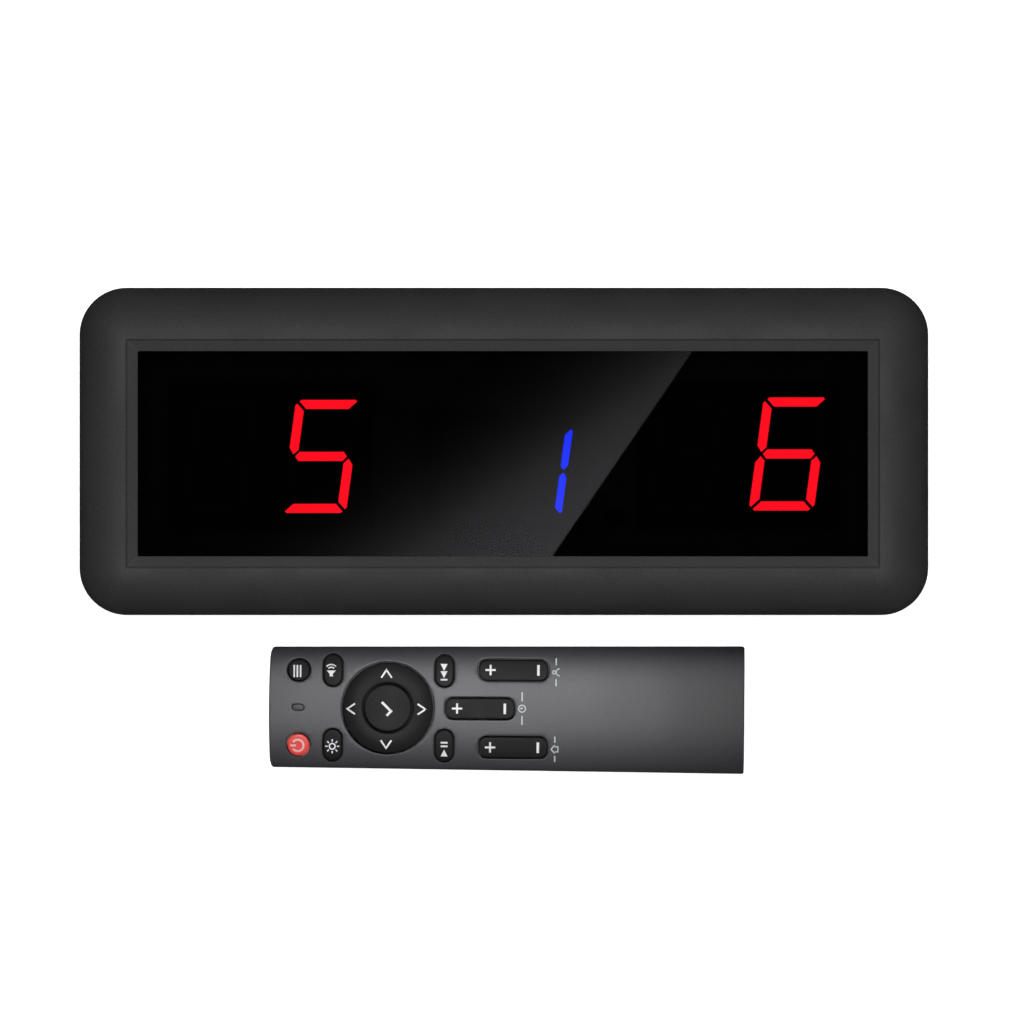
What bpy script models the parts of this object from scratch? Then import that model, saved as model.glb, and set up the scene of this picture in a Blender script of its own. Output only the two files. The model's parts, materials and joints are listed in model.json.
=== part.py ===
"""Gym score and round timer with its remote control, both lying face up.

The timer is a two-part case with a dark window, six seven-segment digits on one board,
and the parts that power and drive them. The remote is a two-part handset with ten keys
and a rocking ring over a rubber mat, and two AAA cells under a sliding door.

Units are metres. +X runs along the display to its right, +Y to its top, and +Z out of
its face. The origin is the middle of the timer's flat back.
"""

import math

import bmesh
import bpy

GAP = 0.0003  # left between pieces that touch in the real object
SMOOTH_ANGLE = math.radians(35)
LEAST_RADIUS = 0.0004  # a corner that is sharp on the real object

# ---------------------------------------------------------------- timer case
CASE_WIDTH = 0.280
CASE_HEIGHT = 0.108
CASE_DEPTH = 0.045
CASE_CORNER = 0.0156
CASE_WALL = 0.0025
CORNER_STEPS = 6
PARTING_Z = 0.020  # where the two shells meet
BACK_ROUND = 0.004
TONGUE_HEIGHT = 0.0025
TONGUE_INSET = 0.0013
INNER_FILLET = 0.0015

CROWN_START_Z = 0.027  # the bezel's face curves in from here
CROWN_RUN = 0.0157
CROWN_STEPS = 8
RIM_TOP_Z = 0.0444
RIM_LOW_Z = 0.0434
OPENING_INSET = 0.0197
OPENING_SHIFT = (-0.00035, -0.00085)  # from the case's middle to the opening's
OPENING_TRIM = (0.0007, 0.0012)  # the opening is this much less than even borders would leave
LIP_Z = 0.0423  # underside of the lip that holds the window
POCKET_INSET = 0.0174
POCKET_WALL = 0.002
POCKET_Z = 0.0385

WINDOW_TOP_Z = 0.042
WINDOW_THICKNESS = 0.002
GASKET_THICKNESS = 0.0008
GASKET_WIDTH = 0.0026

# ---------------------------------------------------------------- display board and digits
BOARD_WIDTH = 0.262
BOARD_HEIGHT = 0.078
BOARD_THICKNESS = 0.0016
BOARD_Z = 0.0261
BOARD_TOP_Z = BOARD_Z + BOARD_THICKNESS
BOARD_CORNER = 0.002
BOARD_SCREW_X = 0.1275
BOARD_SCREW_Y = 0.030

RECEIVER_AT = (0.0362, -0.0220)
RECEIVER = (0.0060, 0.0050)
RECEIVER_HEIGHT = 0.0070
CHIP_HEIGHT = 0.0018
CHIPS = (
    ("controller_chip", (-0.020, 0.006), (0.0100, 0.0100)),
    ("driver_chip", (0.014, 0.006), (0.0180, 0.0076)),
)
CAPACITOR_AT = (0.100, 0.012)
CAPACITOR = (0.0040, 0.0120)  # radius and length
BUZZER = (0.0066, 0.0095)

DIGIT_LOW_Z = BOARD_TOP_Z + GAP
DIGIT_TOP_Z = 0.0384
SEGMENT_POCKET = 0.0004
DIGIT_SLANT = math.radians(7.7)
TIP_CUT = 0.0006  # how far a bar's sharp tips are cut back
RED_DIGIT = {
    "block": (0.0330, 0.0480),
    "figure": (0.0215, 0.0373),
    "stroke": 0.0031,
    "split": 0.0009,
}
BLUE_DIGIT = {
    "block": (0.0268, 0.0400),
    "figure": (0.0146, 0.0297),
    "stroke": 0.0025,
    "split": 0.0005,
}
DIGITS = (
    ("digit_home_tens", (-0.09355, -0.0017), RED_DIGIT),
    ("digit_home_ones", (-0.06015, -0.0017), RED_DIGIT),
    ("digit_period_tens", (-0.0136, -0.0066), BLUE_DIGIT),
    ("digit_period_ones", (0.0136, -0.0066), BLUE_DIGIT),
    ("digit_guest_tens", (0.06035, -0.0009), RED_DIGIT),
    ("digit_guest_ones", (0.09375, -0.0009), RED_DIGIT),
)

# ---------------------------------------------------------------- screws
CASE_SCREW_X = 0.125
CASE_SCREW_Y = 0.045
CASE_SCREWS = [(x, y) for y in (CASE_SCREW_Y, -CASE_SCREW_Y) for x in (CASE_SCREW_X, 0.0, -CASE_SCREW_X)]
CASE_POST_RADIUS = 0.0044
CASE_BOSS_RADIUS = 0.0035
CASE_BOSS_TOP_Z = 0.040
CASE_BORE_RADIUS = 0.0018
CASE_COUNTERBORE_RADIUS = 0.0031
CASE_SEAT_Z = 0.014
CASE_SCREW = {"head": 0.0027, "shank": 0.0015, "head_height": 0.0020, "length": 0.014}
BOARD_BOSS_RADIUS = 0.0030
BOARD_BORE_RADIUS = 0.0015
BOARD_SCREW = {"head": 0.0023, "shank": 0.0012, "head_height": 0.0014, "length": 0.008}
SCREW_STEPS = 10
BORE_STEPS = 12

# ---------------------------------------------------------------- back of the case
KEYHOLE_X = 0.090
KEYHOLE_Y = 0.020
KEYHOLE_RADIUS = 0.0045
KEYHOLE_SLOT = 0.0023
KEYHOLE_RISE = 0.009
GRILLE_X = 0.055
GRILLE_Y = -0.020
GRILLE_SLOTS = 5
GRILLE_PITCH = 0.0042
GRILLE_SLOT = (0.002, 0.016)

# ---------------------------------------------------------------- power inlet
JACK_Y = -0.020
JACK_Z = 0.011
JACK_HOLE_RADIUS = 0.0042
JACK_COLLAR_RADIUS = 0.0038
JACK_BORE_RADIUS = 0.0028
JACK_PIN_RADIUS = 0.00105
JACK_BODY = (0.0145, 0.009, 0.011)
JACK_BORE_DEPTH = 0.0095
CRADLE_WALL = 0.0014

# ---------------------------------------------------------------- remote
REMOTE_AT = (0.0009, -0.0851, 0.0)
REMOTE_TURN = math.radians(-0.42)  # it lies a little askew beside the timer
REMOTE_LENGTH = 0.1573
REMOTE_NOSE_HALF = 0.0199  # half its width at the nose, and at the tail
REMOTE_TAIL_HALF = 0.0211
REMOTE_HEIGHT = 0.017
REMOTE_WALL = 0.0015
REMOTE_EDGE_Z = 0.0115  # top of the upright sides
REMOTE_CROWN_POWER = 2.3
REMOTE_CROWN_STEPS = 14
REMOTE_PARTING_Z = 0.009
REMOTE_BOW = 0.0003
REMOTE_NOSE_CORNER = (0.0014, 0.0042)  # the nose corner's run along and across
REMOTE_TAIL_CORNER = 0.0006
REMOTE_BOTTOM_ROUND = 0.0025
REMOTE_TONGUE = (0.0007, 0.0102)
REMOTE_NOSE_WEB = 0.0008  # more wall behind the nose's corners
REMOTE_RIB = 0.0012
REMOTE_RIBS_X = (-0.060, -0.020, 0.008)
BAY_RIB = 0.0014
BAY_RIB_TOP_Z = 0.0100

REMOTE_BOARD_X = (-0.0735, 0.0170)
REMOTE_BOARD_HALF = 0.0180
REMOTE_BOARD_Z = 0.0079
REMOTE_BOARD_THICKNESS = 0.0012
MAT_Z = REMOTE_BOARD_Z + REMOTE_BOARD_THICKNESS + GAP
MAT_THICKNESS = 0.0007
MAT_EDGE = 0.0002  # the mat is this much narrower than the board
MAT_NOTCH = (0.0085, 0.0032)  # length and half width, round the indicator
KEY_LOW_Z = 0.0112
KEY_FLANGE_TOP_Z = 0.0120
KEY_FLANGE = 0.0006
KEY_PROUD = 0.0009
KEY_GAP = 0.00035
KEY_STEPS = 4
ROCKER_LOW_Z = 0.0122
ROCKER_PIVOT_Z = 0.0145

KEY_ROW_Y = 0.0124
ROUND_KEY = (0.0079, 0.0079)
TALL_KEY = (0.0068, 0.0112)
PUSH_KEYS = (
    ("menu_key", -0.0688, KEY_ROW_Y, ROUND_KEY),
    ("power_key", -0.0688, -KEY_ROW_Y, ROUND_KEY),
    ("sound_key", -0.0575, KEY_ROW_Y, TALL_KEY),
    ("light_key", -0.0575, -KEY_ROW_Y, TALL_KEY),
    ("reset_key", -0.0206, KEY_ROW_Y, TALL_KEY),
    ("stop_key", -0.0206, -KEY_ROW_Y, TALL_KEY),
)
ROCKER = (0.0236, 0.0076)
ROCKER_CORNER = 0.0030
ROCKER_ROW_Y = 0.0128
ROCKERS = (
    ("guest_rocker", 0.0022, ROCKER_ROW_Y),
    ("period_rocker", -0.0088, 0.0),
    ("home_rocker", 0.0022, -ROCKER_ROW_Y),
)
NAV_X = -0.0393
NAV_PIVOT_Z = 0.0150
NAV_HOLE_RADIUS = 0.0154
NAV_RING_RADIUS = 0.01495
NAV_RING_BORE = 0.0083
NAV_RING_LOW_Z = 0.0129
NAV_STEPS = 32
OK_KEY_RADIUS = 0.0078
OK_FLANGE_RADIUS = 0.0088
NAV_PAD_RADII = (0.0097, 0.0140)
NAV_PAD_Z = (0.0112, 0.0119)

INDICATOR_AT = (-0.0690, 0.0)
INDICATOR = (0.0034, 0.0016)
IR_WINDOW_HALF = 0.0070
IR_WINDOW_Z = (0.0065, 0.0120)
IR_WINDOW_THICKNESS = 0.0013
IR_LED_RADIUS = 0.0015
IR_LED_Z = 0.0107

BATTERY_RADIUS = 0.00525
BATTERY_LENGTH = 0.0445
BATTERY_NUB = (0.0019, 0.0009)
BATTERY_Y = 0.0056
BATTERY_Z = 0.0074
BAY = (0.0200, 0.0732)  # the contact plates' outer faces, along the handset
CONTACT_THICKNESS = 0.0004
CONTACT_Z = (0.0032, 0.0118)
CONTACT_Y = (0.0012, 0.0098)
SPRING_RADII = (0.0038, 0.0020)  # the coil's radius at its base and at its tip
SPRING_WIRE = 0.00035
DOOR_LOW_X = 0.0220
DOOR_HALF = 0.0130
DOOR_THICKNESS = 0.0015
DOOR_LIP_Z = 0.0028
DOOR_RAIL_HALF = 0.0143
DOOR_RAIL_Z = 0.0018
DOOR_RAIL_SHORT = 0.0020  # the rails stop this far inside the door's ends
DOOR_WEB = 0.0012
DOOR_GRIPS = 3
DOOR_GRIP = (0.0012, 0.0060, 0.0005)  # a groove's width, half length and depth
DOOR_GRIP_X = 0.0050
DOOR_GRIP_PITCH = 0.0028


# ================================================================ shapes
def material(name, colour, roughness, metallic=0.0):
    """A plain finish: base colour, roughness and metallic value."""
    made = bpy.data.materials.new(name)
    made.use_nodes = True
    shader = made.node_tree.nodes["Principled BSDF"]
    shader.inputs["Base Color"].default_value = (*colour, 1.0)
    shader.inputs["Roughness"].default_value = roughness
    shader.inputs["Metallic"].default_value = metallic
    return made


def rounded_rectangle(width, height, radius, steps=KEY_STEPS, centre=(0.0, 0.0)):
    """Outline points, anticlockwise from the +X end of the +X +Y corner's arc."""
    radius = max(radius, LEAST_RADIUS)
    points = []
    for quarter, (side_x, side_y) in enumerate(((1, 1), (-1, 1), (-1, -1), (1, -1))):
        corner_x = centre[0] + side_x * (width / 2 - radius)
        corner_y = centre[1] + side_y * (height / 2 - radius)
        for step in range(steps + 1):
            angle = math.radians(90) * (quarter + step / steps)
            points.append((corner_x + radius * math.cos(angle), corner_y + radius * math.sin(angle)))
    return points


def circle(radius, steps=BORE_STEPS, centre=(0.0, 0.0)):
    """Outline points of a circle, anticlockwise."""
    turns = [math.tau * step / steps for step in range(steps)]
    return [(centre[0] + radius * math.cos(turn), centre[1] + radius * math.sin(turn)) for turn in turns]


def at_height(outline, z):
    """An outline's points at one height."""
    return [(x, y, z) for x, y in outline]


def place(name, mesh, parent, finish, location=(0, 0, 0), rotation=(0, 0, 0)):
    """Links a mesh as a named object under its parent, shaded smooth between sharp edges."""
    mesh.materials.append(finish)
    mesh.shade_smooth()
    mesh.set_sharp_from_angle(angle=SMOOTH_ANGLE)
    made = bpy.data.objects.new(name, mesh)
    bpy.context.scene.collection.objects.link(made)
    made.parent = parent
    made.location = location
    made.rotation_euler = rotation
    return made


def loft(name, parent, finish, rings, closed=False, triangles=False, **placing):
    """A closed solid through rings of points. Its ends are capped, or joined if closed.

    Rings that aren't parallel need triangles, because their quads would be twisted.
    """
    shape = bmesh.new()
    loops = [[shape.verts.new(point) for point in ring] for ring in rings]
    pairs = list(zip(loops, loops[1:]))
    if closed:
        pairs.append((loops[-1], loops[0]))
    else:
        shape.faces.new(reversed(loops[0]))
        shape.faces.new(loops[-1])
    for low, high in pairs:
        for here in range(len(low)):
            there = (here + 1) % len(low)
            shape.faces.new((low[here], low[there], high[there], high[here]))
    if triangles:
        bmesh.ops.triangulate(shape, faces=shape.faces)
    bmesh.ops.recalc_face_normals(shape, faces=shape.faces)
    mesh = bpy.data.meshes.new(name)
    shape.to_mesh(mesh)
    shape.free()
    return place(name, mesh, parent, finish, **placing)


def prism(name, parent, finish, outline, low, high, **placing):
    """An upright solid with one outline from low to high."""
    return loft(name, parent, finish, [at_height(outline, low), at_height(outline, high)], **placing)


def box(name, parent, finish, low, high):
    """A box from its lowest corner to its highest."""
    outline = [(high[0], high[1]), (low[0], high[1]), (low[0], low[1]), (high[0], low[1])]
    return prism(name, parent, finish, outline, low[2], high[2])


def turned(name, parent, finish, profile, steps=BORE_STEPS, closed=False, **placing):
    """A solid of revolution about its own Z from (radius, height) points."""
    rings = [at_height(circle(radius, steps), z) for radius, z in profile]
    return loft(name, parent, finish, rings, closed=closed, **placing)


def combine(target, operation, helpers):
    """Cuts the helper shapes from the target, or joins them to it, in one Boolean."""
    group = bpy.data.collections.new(f"{target.name}_{operation.lower()}")
    for helper in helpers:
        bpy.context.scene.collection.objects.unlink(helper)
        group.objects.link(helper)
        helper.display_type = "WIRE"
        helper.hide_render = True
    bpy.context.scene.collection.children.link(group)
    boolean = target.modifiers.new(operation.title(), "BOOLEAN")
    boolean.operation = operation
    boolean.solver = "EXACT"
    boolean.operand_type = "COLLECTION"
    boolean.collection = group
    return target


def frame_empty(name, location):
    """An empty that holds one body's pieces."""
    made = bpy.data.objects.new(name, None)
    bpy.context.scene.collection.objects.link(made)
    made.location = location
    return made


ALONG_X = (0.0, math.radians(90), 0.0)
ALONG_MINUS_X = (0.0, math.radians(-90), 0.0)


# ================================================================ timer case
def case_ring(inset, z, drawn=0.0):
    """The case's outline, moved in by an inset, at one height, and drawn 0 to 1 to the opening."""
    outline = rounded_rectangle(
        CASE_WIDTH - 2 * inset - drawn * OPENING_TRIM[0],
        CASE_HEIGHT - 2 * inset - drawn * OPENING_TRIM[1],
        CASE_CORNER - inset,
        CORNER_STEPS,
        centre=(drawn * OPENING_SHIFT[0], drawn * OPENING_SHIFT[1]),
    )
    return at_height(outline, z)


def quarter_ellipse(inset, z, run, rise, steps):
    """(inset, height) points of a curve that leaves the wall upright and ends level."""
    angles = [math.radians(90) * step / steps for step in range(steps + 1)]
    return [(inset + run * (1 - math.cos(a)), z + rise * math.sin(a)) for a in angles]


def make_front_bezel(timer, finish):
    """Crowned front frame with a stepped rim, a window pocket and screw bosses."""
    outer = quarter_ellipse(0.0, CROWN_START_Z, CROWN_RUN, CASE_DEPTH - CROWN_START_Z, CROWN_STEPS)
    pocket_back = POCKET_INSET - POCKET_WALL
    inner = quarter_ellipse(
        CASE_WALL,
        CROWN_START_Z,
        pocket_back - CASE_WALL,
        CASE_DEPTH - CASE_WALL - CROWN_START_Z,
        CROWN_STEPS - 2,
    )
    low_z = PARTING_Z + GAP
    groove_inset = TONGUE_INSET - GAP
    groove_z = PARTING_Z + TONGUE_HEIGHT + GAP
    front = [(0.0, low_z), *outer]
    front += [(CROWN_RUN + 0.0004, RIM_TOP_Z), (OPENING_INSET, RIM_LOW_Z), (OPENING_INSET, LIP_Z)]
    back = [(POCKET_INSET, LIP_Z), (POCKET_INSET, POCKET_Z), (pocket_back, POCKET_Z)]
    back += [*reversed(inner), (CASE_WALL, groove_z), (groove_inset, groove_z), (groove_inset, low_z)]
    rings = [case_ring(inset, z, min(inset / CROWN_RUN, 1.0)) for inset, z in front]
    rings += [case_ring(inset, z) for inset, z in back]
    bezel = loft("front_bezel", timer, finish, rings, closed=True)

    bosses = []
    bores = []
    for x, y in CASE_SCREWS:
        boss = circle(CASE_BOSS_RADIUS, centre=(x, y))
        bosses.append(prism("case_boss", timer, finish, boss, low_z, CASE_BOSS_TOP_Z))
        bore = circle(CASE_BORE_RADIUS, centre=(x, y))
        bores.append(prism("case_bore", timer, finish, bore, PARTING_Z - GAP, PARTING_Z + 0.012))
    for x, y in board_screw_places():
        boss = circle(BOARD_BOSS_RADIUS, centre=(x, y))
        bosses.append(prism("board_boss", timer, finish, boss, BOARD_TOP_Z + GAP, LIP_Z))
        bore = circle(BOARD_BORE_RADIUS, centre=(x, y))
        bores.append(prism("board_bore", timer, finish, bore, BOARD_TOP_Z, BOARD_TOP_Z + 0.008))
    combine(bezel, "UNION", bosses)
    return combine(bezel, "DIFFERENCE", bores)


def make_rear_shell(timer, finish):
    """Back tray with screw posts, hanging keyholes, a sound grille and the inlet's cradle."""
    tongue_z = PARTING_Z + TONGUE_HEIGHT
    section = quarter_ellipse(0.0, 0.0, BACK_ROUND, BACK_ROUND, 4)
    section = [(inset, BACK_ROUND - z) for inset, z in reversed(section)]
    section += [(0.0, PARTING_Z), (TONGUE_INSET, PARTING_Z), (TONGUE_INSET, tongue_z)]
    section += [(CASE_WALL, tongue_z), (CASE_WALL, CASE_WALL + INNER_FILLET)]
    section.append((CASE_WALL + INNER_FILLET, CASE_WALL))
    shell = loft("rear_shell", timer, finish, [case_ring(inset, z) for inset, z in section])

    inside_z = CASE_WALL / 2
    added = []
    cut = []
    for x, y in CASE_SCREWS:
        post = circle(CASE_POST_RADIUS, centre=(x, y))
        added.append(prism("case_post", timer, finish, post, inside_z, PARTING_Z))
        counterbore = circle(CASE_COUNTERBORE_RADIUS, centre=(x, y))
        cut.append(prism("counterbore", timer, finish, counterbore, -GAP, CASE_SEAT_Z))
        bore = circle(CASE_BORE_RADIUS, centre=(x, y))
        cut.append(prism("post_bore", timer, finish, bore, CASE_SEAT_Z - GAP, PARTING_Z + GAP))
    for side in (-1, 1):
        hole = circle(KEYHOLE_RADIUS, 16, centre=(side * KEYHOLE_X, KEYHOLE_Y))
        cut.append(prism("keyhole_head", timer, finish, hole, -GAP, CASE_WALL + GAP))
        slot = rounded_rectangle(
            2 * KEYHOLE_SLOT,
            KEYHOLE_RISE + 2 * KEYHOLE_SLOT,
            KEYHOLE_SLOT,
            centre=(side * KEYHOLE_X, KEYHOLE_Y + KEYHOLE_RISE / 2),
        )
        cut.append(prism("keyhole_slot", timer, finish, slot, -GAP, CASE_WALL + GAP))
    for index in range(GRILLE_SLOTS):
        x = GRILLE_X + (index - (GRILLE_SLOTS - 1) / 2) * GRILLE_PITCH
        slot = rounded_rectangle(*GRILLE_SLOT, GRILLE_SLOT[0] / 2, 2, centre=(x, GRILLE_Y))
        cut.append(prism("grille_slot", timer, finish, slot, -GAP, CASE_WALL + GAP))

    body_x = CASE_WIDTH / 2 - CASE_WALL - GAP
    for side in (-1, 1):
        inner = JACK_BODY[1] / 2 + GAP
        low_y, high_y = sorted((JACK_Y + side * inner, JACK_Y + side * (inner + CRADLE_WALL)))
        low = (body_x - JACK_BODY[0], low_y, inside_z)
        high = (body_x - GAP, high_y, JACK_Z + 0.002)
        added.append(box("cradle_side", timer, finish, low, high))
    hole = circle(JACK_HOLE_RADIUS, 16)
    wall_x = CASE_WIDTH / 2 - 2 * CASE_WALL
    cut.append(
        prism(
            "inlet_hole",
            timer,
            finish,
            hole,
            CASE_WALL - GAP,
            3 * CASE_WALL,
            location=(wall_x, JACK_Y, JACK_Z),
            rotation=ALONG_X,
        )
    )
    combine(shell, "UNION", added)
    return combine(shell, "DIFFERENCE", cut)


def make_window(timer, finish):
    """Dark filter sheet that drops into the bezel's pocket from behind."""
    inset = POCKET_INSET + GAP
    low = case_ring(inset, WINDOW_TOP_Z - WINDOW_THICKNESS)
    return loft("display_window", timer, finish, [low, case_ring(inset, WINDOW_TOP_Z)])


def make_gasket(timer, finish):
    """Foam frame between the window's edge and the clips behind it."""
    top_z = WINDOW_TOP_Z - WINDOW_THICKNESS - GAP
    low_z = top_z - GASKET_THICKNESS
    outer = POCKET_INSET + GAP
    inner = outer + GASKET_WIDTH
    section = ((outer, low_z), (outer, top_z), (inner, top_z), (inner, low_z))
    return loft("window_gasket", timer, finish, [case_ring(*point) for point in section], closed=True)


# ================================================================ display
def board_screw_places():
    """The four corners where the display board is held."""
    return [(side_x * BOARD_SCREW_X, side_y * BOARD_SCREW_Y) for side_y in (1, -1) for side_x in (1, -1)]


def make_display_board(timer, finish):
    """The circuit board, with a hole at each of its screws."""
    outline = rounded_rectangle(BOARD_WIDTH, BOARD_HEIGHT, BOARD_CORNER, 2)
    board = prism("display_board", timer, finish, outline, BOARD_Z, BOARD_TOP_Z)
    holes = []
    for place_x, place_y in board_screw_places():
        hole = circle(BOARD_BORE_RADIUS, centre=(place_x, place_y))
        holes.append(prism("board_hole", timer, finish, hole, BOARD_Z - GAP, BOARD_TOP_Z + GAP))
    return combine(board, "DIFFERENCE", holes)


def segment_outlines(figure, stroke, split):
    """The seven bars of a figure about its middle, clockwise from the top, then the middle one."""
    right = figure[0] / 2
    top = figure[1] / 2
    half = stroke / 2
    mitre = split / math.sqrt(2)
    bar_right = [
        (right - mitre - TIP_CUT, top),
        (right - mitre - TIP_CUT / 2, top - TIP_CUT / 2),
        (right - stroke - mitre, top - stroke),
    ]
    bar = bar_right + [(-x, y) for x, y in reversed(bar_right)]
    upright = [
        (right - TIP_CUT / 2, top - mitre - TIP_CUT / 2),
        (right, top - mitre - TIP_CUT),
        (right, half + 2 * mitre),
        (right - half, mitre),
        (right - stroke, half + mitre),
        (right - stroke, top - stroke - mitre),
    ]
    middle_right = [
        (right - stroke - mitre / 2, half),
        (right - half - mitre, 0.0),
        (right - stroke - mitre / 2, -half),
    ]
    middle = middle_right + [(-x, -y) for x, y in middle_right]
    flip_x = [(-x, y) for x, y in upright]
    flip_y = [(x, -y) for x, y in upright]
    flip_both = [(-x, -y) for x, y in upright]
    under = [(x, -y) for x, y in bar]
    return [bar, upright, flip_y, under, flip_both, flip_x, middle]


def make_digits(timer, finish):
    """Six display blocks with a shallow pocket for each bar of the figure."""
    for name, (x, y), digit in DIGITS:
        outline = rounded_rectangle(*digit["block"], LEAST_RADIUS, 1)
        low = DIGIT_LOW_Z - DIGIT_TOP_Z
        block = prism(name, timer, finish, outline, low, 0.0, location=(x, y, DIGIT_TOP_Z))
        pockets = []
        for bar in segment_outlines(digit["figure"], digit["stroke"], digit["split"]):
            slanted = [(bar_x + bar_y * math.tan(DIGIT_SLANT), bar_y) for bar_x, bar_y in bar]
            pocket = prism("segment_pocket", timer, finish, slanted, -SEGMENT_POCKET, SEGMENT_POCKET)
            pocket.location = (x, y, DIGIT_TOP_Z)
            pockets.append(pocket)
        combine(block, "DIFFERENCE", pockets)


def make_board_parts(timer, finishes):
    """What is soldered to the board: receiver, chips, capacitor and sounder."""
    dark = finishes["dark"]
    receiver_top = DIGIT_LOW_Z + RECEIVER_HEIGHT
    outline = rounded_rectangle(*RECEIVER, 2 * LEAST_RADIUS, 1, centre=RECEIVER_AT)
    receiver = prism("ir_receiver", timer, dark, outline, DIGIT_LOW_Z, receiver_top)
    dome = [(0.0022, -0.0008), (0.0022, 0.0), (0.0019, 0.0008), (0.0012, 0.0014), (0.0004, 0.0016)]
    at_receiver = (*RECEIVER_AT, receiver_top)
    combine(receiver, "UNION", [turned("receiver_dome", timer, dark, dome, location=at_receiver)])

    under_z = BOARD_Z - GAP
    for name, centre, size in CHIPS:
        outline = rounded_rectangle(*size, LEAST_RADIUS, 1, centre=centre)
        prism(name, timer, dark, outline, under_z - CHIP_HEIGHT, under_z)
    radius, length = CAPACITOR
    can = [(radius - LEAST_RADIUS, -length), (radius, LEAST_RADIUS - length), (radius, 0.0)]
    turned("smoothing_capacitor", timer, finishes["metal"], can, location=(*CAPACITOR_AT, under_z))
    radius, length = BUZZER
    shell = [(radius - LEAST_RADIUS, -length), (radius, LEAST_RADIUS - length), (radius, 0.0)]
    over_grille = (GRILLE_X, GRILLE_Y, under_z)
    sounder = turned("buzzer", timer, dark, shell, 16, location=over_grille)
    mouth = [(0.0012, -length - GAP), (0.0012, -0.0070)]
    combine(sounder, "DIFFERENCE", [turned("buzzer_mouth", timer, dark, mouth, 8, location=over_grille)])


def make_power_inlet(timer, finishes):
    """Barrel socket in the case's side, and the lead from it to the board."""
    face_x = CASE_WIDTH / 2 - 2 * GAP
    body_x = CASE_WIDTH / 2 - CASE_WALL - GAP
    low = (body_x - JACK_BODY[0], JACK_Y - JACK_BODY[1] / 2, JACK_Z - JACK_BODY[2] / 2)
    high = (body_x, JACK_Y + JACK_BODY[1] / 2, JACK_Z + JACK_BODY[2] / 2)
    jack = box("dc_jack", timer, finishes["dark"], low, high)
    lying = {"location": (face_x, JACK_Y, JACK_Z), "rotation": ALONG_X}
    collar = [(JACK_COLLAR_RADIUS, -0.004), (JACK_COLLAR_RADIUS, 0.0)]
    bore = [(JACK_BORE_RADIUS, -JACK_BORE_DEPTH), (JACK_BORE_RADIUS, GAP)]
    pin = [(JACK_PIN_RADIUS, -JACK_BORE_DEPTH - 0.001), (JACK_PIN_RADIUS, -0.0015), (0.0006, -0.0010)]
    combine(jack, "UNION", [turned("jack_collar", timer, finishes["dark"], collar, 16, **lying)])
    combine(jack, "DIFFERENCE", [turned("jack_bore", timer, finishes["dark"], bore, 16, **lying)])
    combine(jack, "UNION", [turned("jack_pin", timer, finishes["metal"], pin, 8, **lying)])

    route = (
        (low[0] - GAP, JACK_Y, JACK_Z),
        (low[0] - 0.004, JACK_Y, JACK_Z),
        (low[0] - 0.008, JACK_Y + 0.002, JACK_Z + 0.0015),
        (low[0] - 0.011, JACK_Y + 0.005, JACK_Z + 0.0055),
        (low[0] - 0.012, JACK_Y + 0.007, JACK_Z + 0.0100),
        (low[0] - 0.012, JACK_Y + 0.0075, BOARD_Z - GAP),
    )
    wire("power_lead", timer, finishes["dark"], route, radius=0.0010)


def wire(name, parent, finish, route, radius):
    """A round wire along a route, as one capped tube."""
    curve = bpy.data.curves.new(name, "CURVE")
    curve.dimensions = "3D"
    curve.bevel_depth = radius
    curve.bevel_resolution = 1
    curve.use_fill_caps = True
    line = curve.splines.new("POLY")
    line.points.add(len(route) - 1)
    for point, place_at in zip(line.points, route):
        point.co = (*place_at, 1.0)
    curve.materials.append(finish)
    made = bpy.data.objects.new(name, curve)
    bpy.context.scene.collection.objects.link(made)
    made.parent = parent
    return made


def make_screws(timer, finish):
    """Six case screws from behind, and four that hold the board."""
    for index, (x, y) in enumerate(CASE_SCREWS, 1):
        seat = (x, y, CASE_SEAT_Z - GAP)
        make_screw(f"case_screw_{index}", timer, finish, CASE_SCREW, seat)
    for index, (x, y) in enumerate(board_screw_places(), 1):
        seat = (x, y, BOARD_Z - GAP)
        make_screw(f"board_screw_{index}", timer, finish, BOARD_SCREW, seat)


def make_screw(name, parent, finish, size, seat):
    """A pan-head screw standing point up, its head's underside at the seat."""
    head = size["head"]
    height = size["head_height"]
    profile = [
        (0.6 * head, -height),
        (head, -0.6 * height),
        (head, 0.0),
        (size["shank"], 0.0),
        (size["shank"], size["length"] - 0.0015),
        (0.4 * size["shank"], size["length"]),
    ]
    return turned(name, parent, finish, profile, SCREW_STEPS, location=seat)


# ================================================================ remote shells
def remote_half(x):
    """Half the handset's width at x along it."""
    share = 0.5 + x / REMOTE_LENGTH
    return REMOTE_NOSE_HALF + (REMOTE_TAIL_HALF - REMOTE_NOSE_HALF) * share


def remote_crown(x, y):
    """Height of the handset's crowned face."""
    share = min(abs(y) / remote_half(x), 1.0)
    rise = REMOTE_HEIGHT - REMOTE_EDGE_Z
    return REMOTE_EDGE_Z + rise * (1 - share**REMOTE_CROWN_POWER) ** (1 / REMOTE_CROWN_POWER)


def remote_section(x, inset, low):
    """Points round the handset's upper half at x, open side down at the low height."""
    half = remote_half(x) - inset
    rise = REMOTE_HEIGHT - inset - REMOTE_EDGE_Z
    points = [(x, half, low)]
    for step in range(REMOTE_CROWN_STEPS + 1):
        angle = math.pi * step / REMOTE_CROWN_STEPS
        across = abs(math.cos(angle)) ** (2 / REMOTE_CROWN_POWER)
        up = max(math.sin(angle), 0.0) ** (2 / REMOTE_CROWN_POWER)
        points.append((x, half * math.copysign(across, math.cos(angle)), REMOTE_EDGE_Z + rise * up))
    points.append((x, -half, low))
    return points


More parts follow.
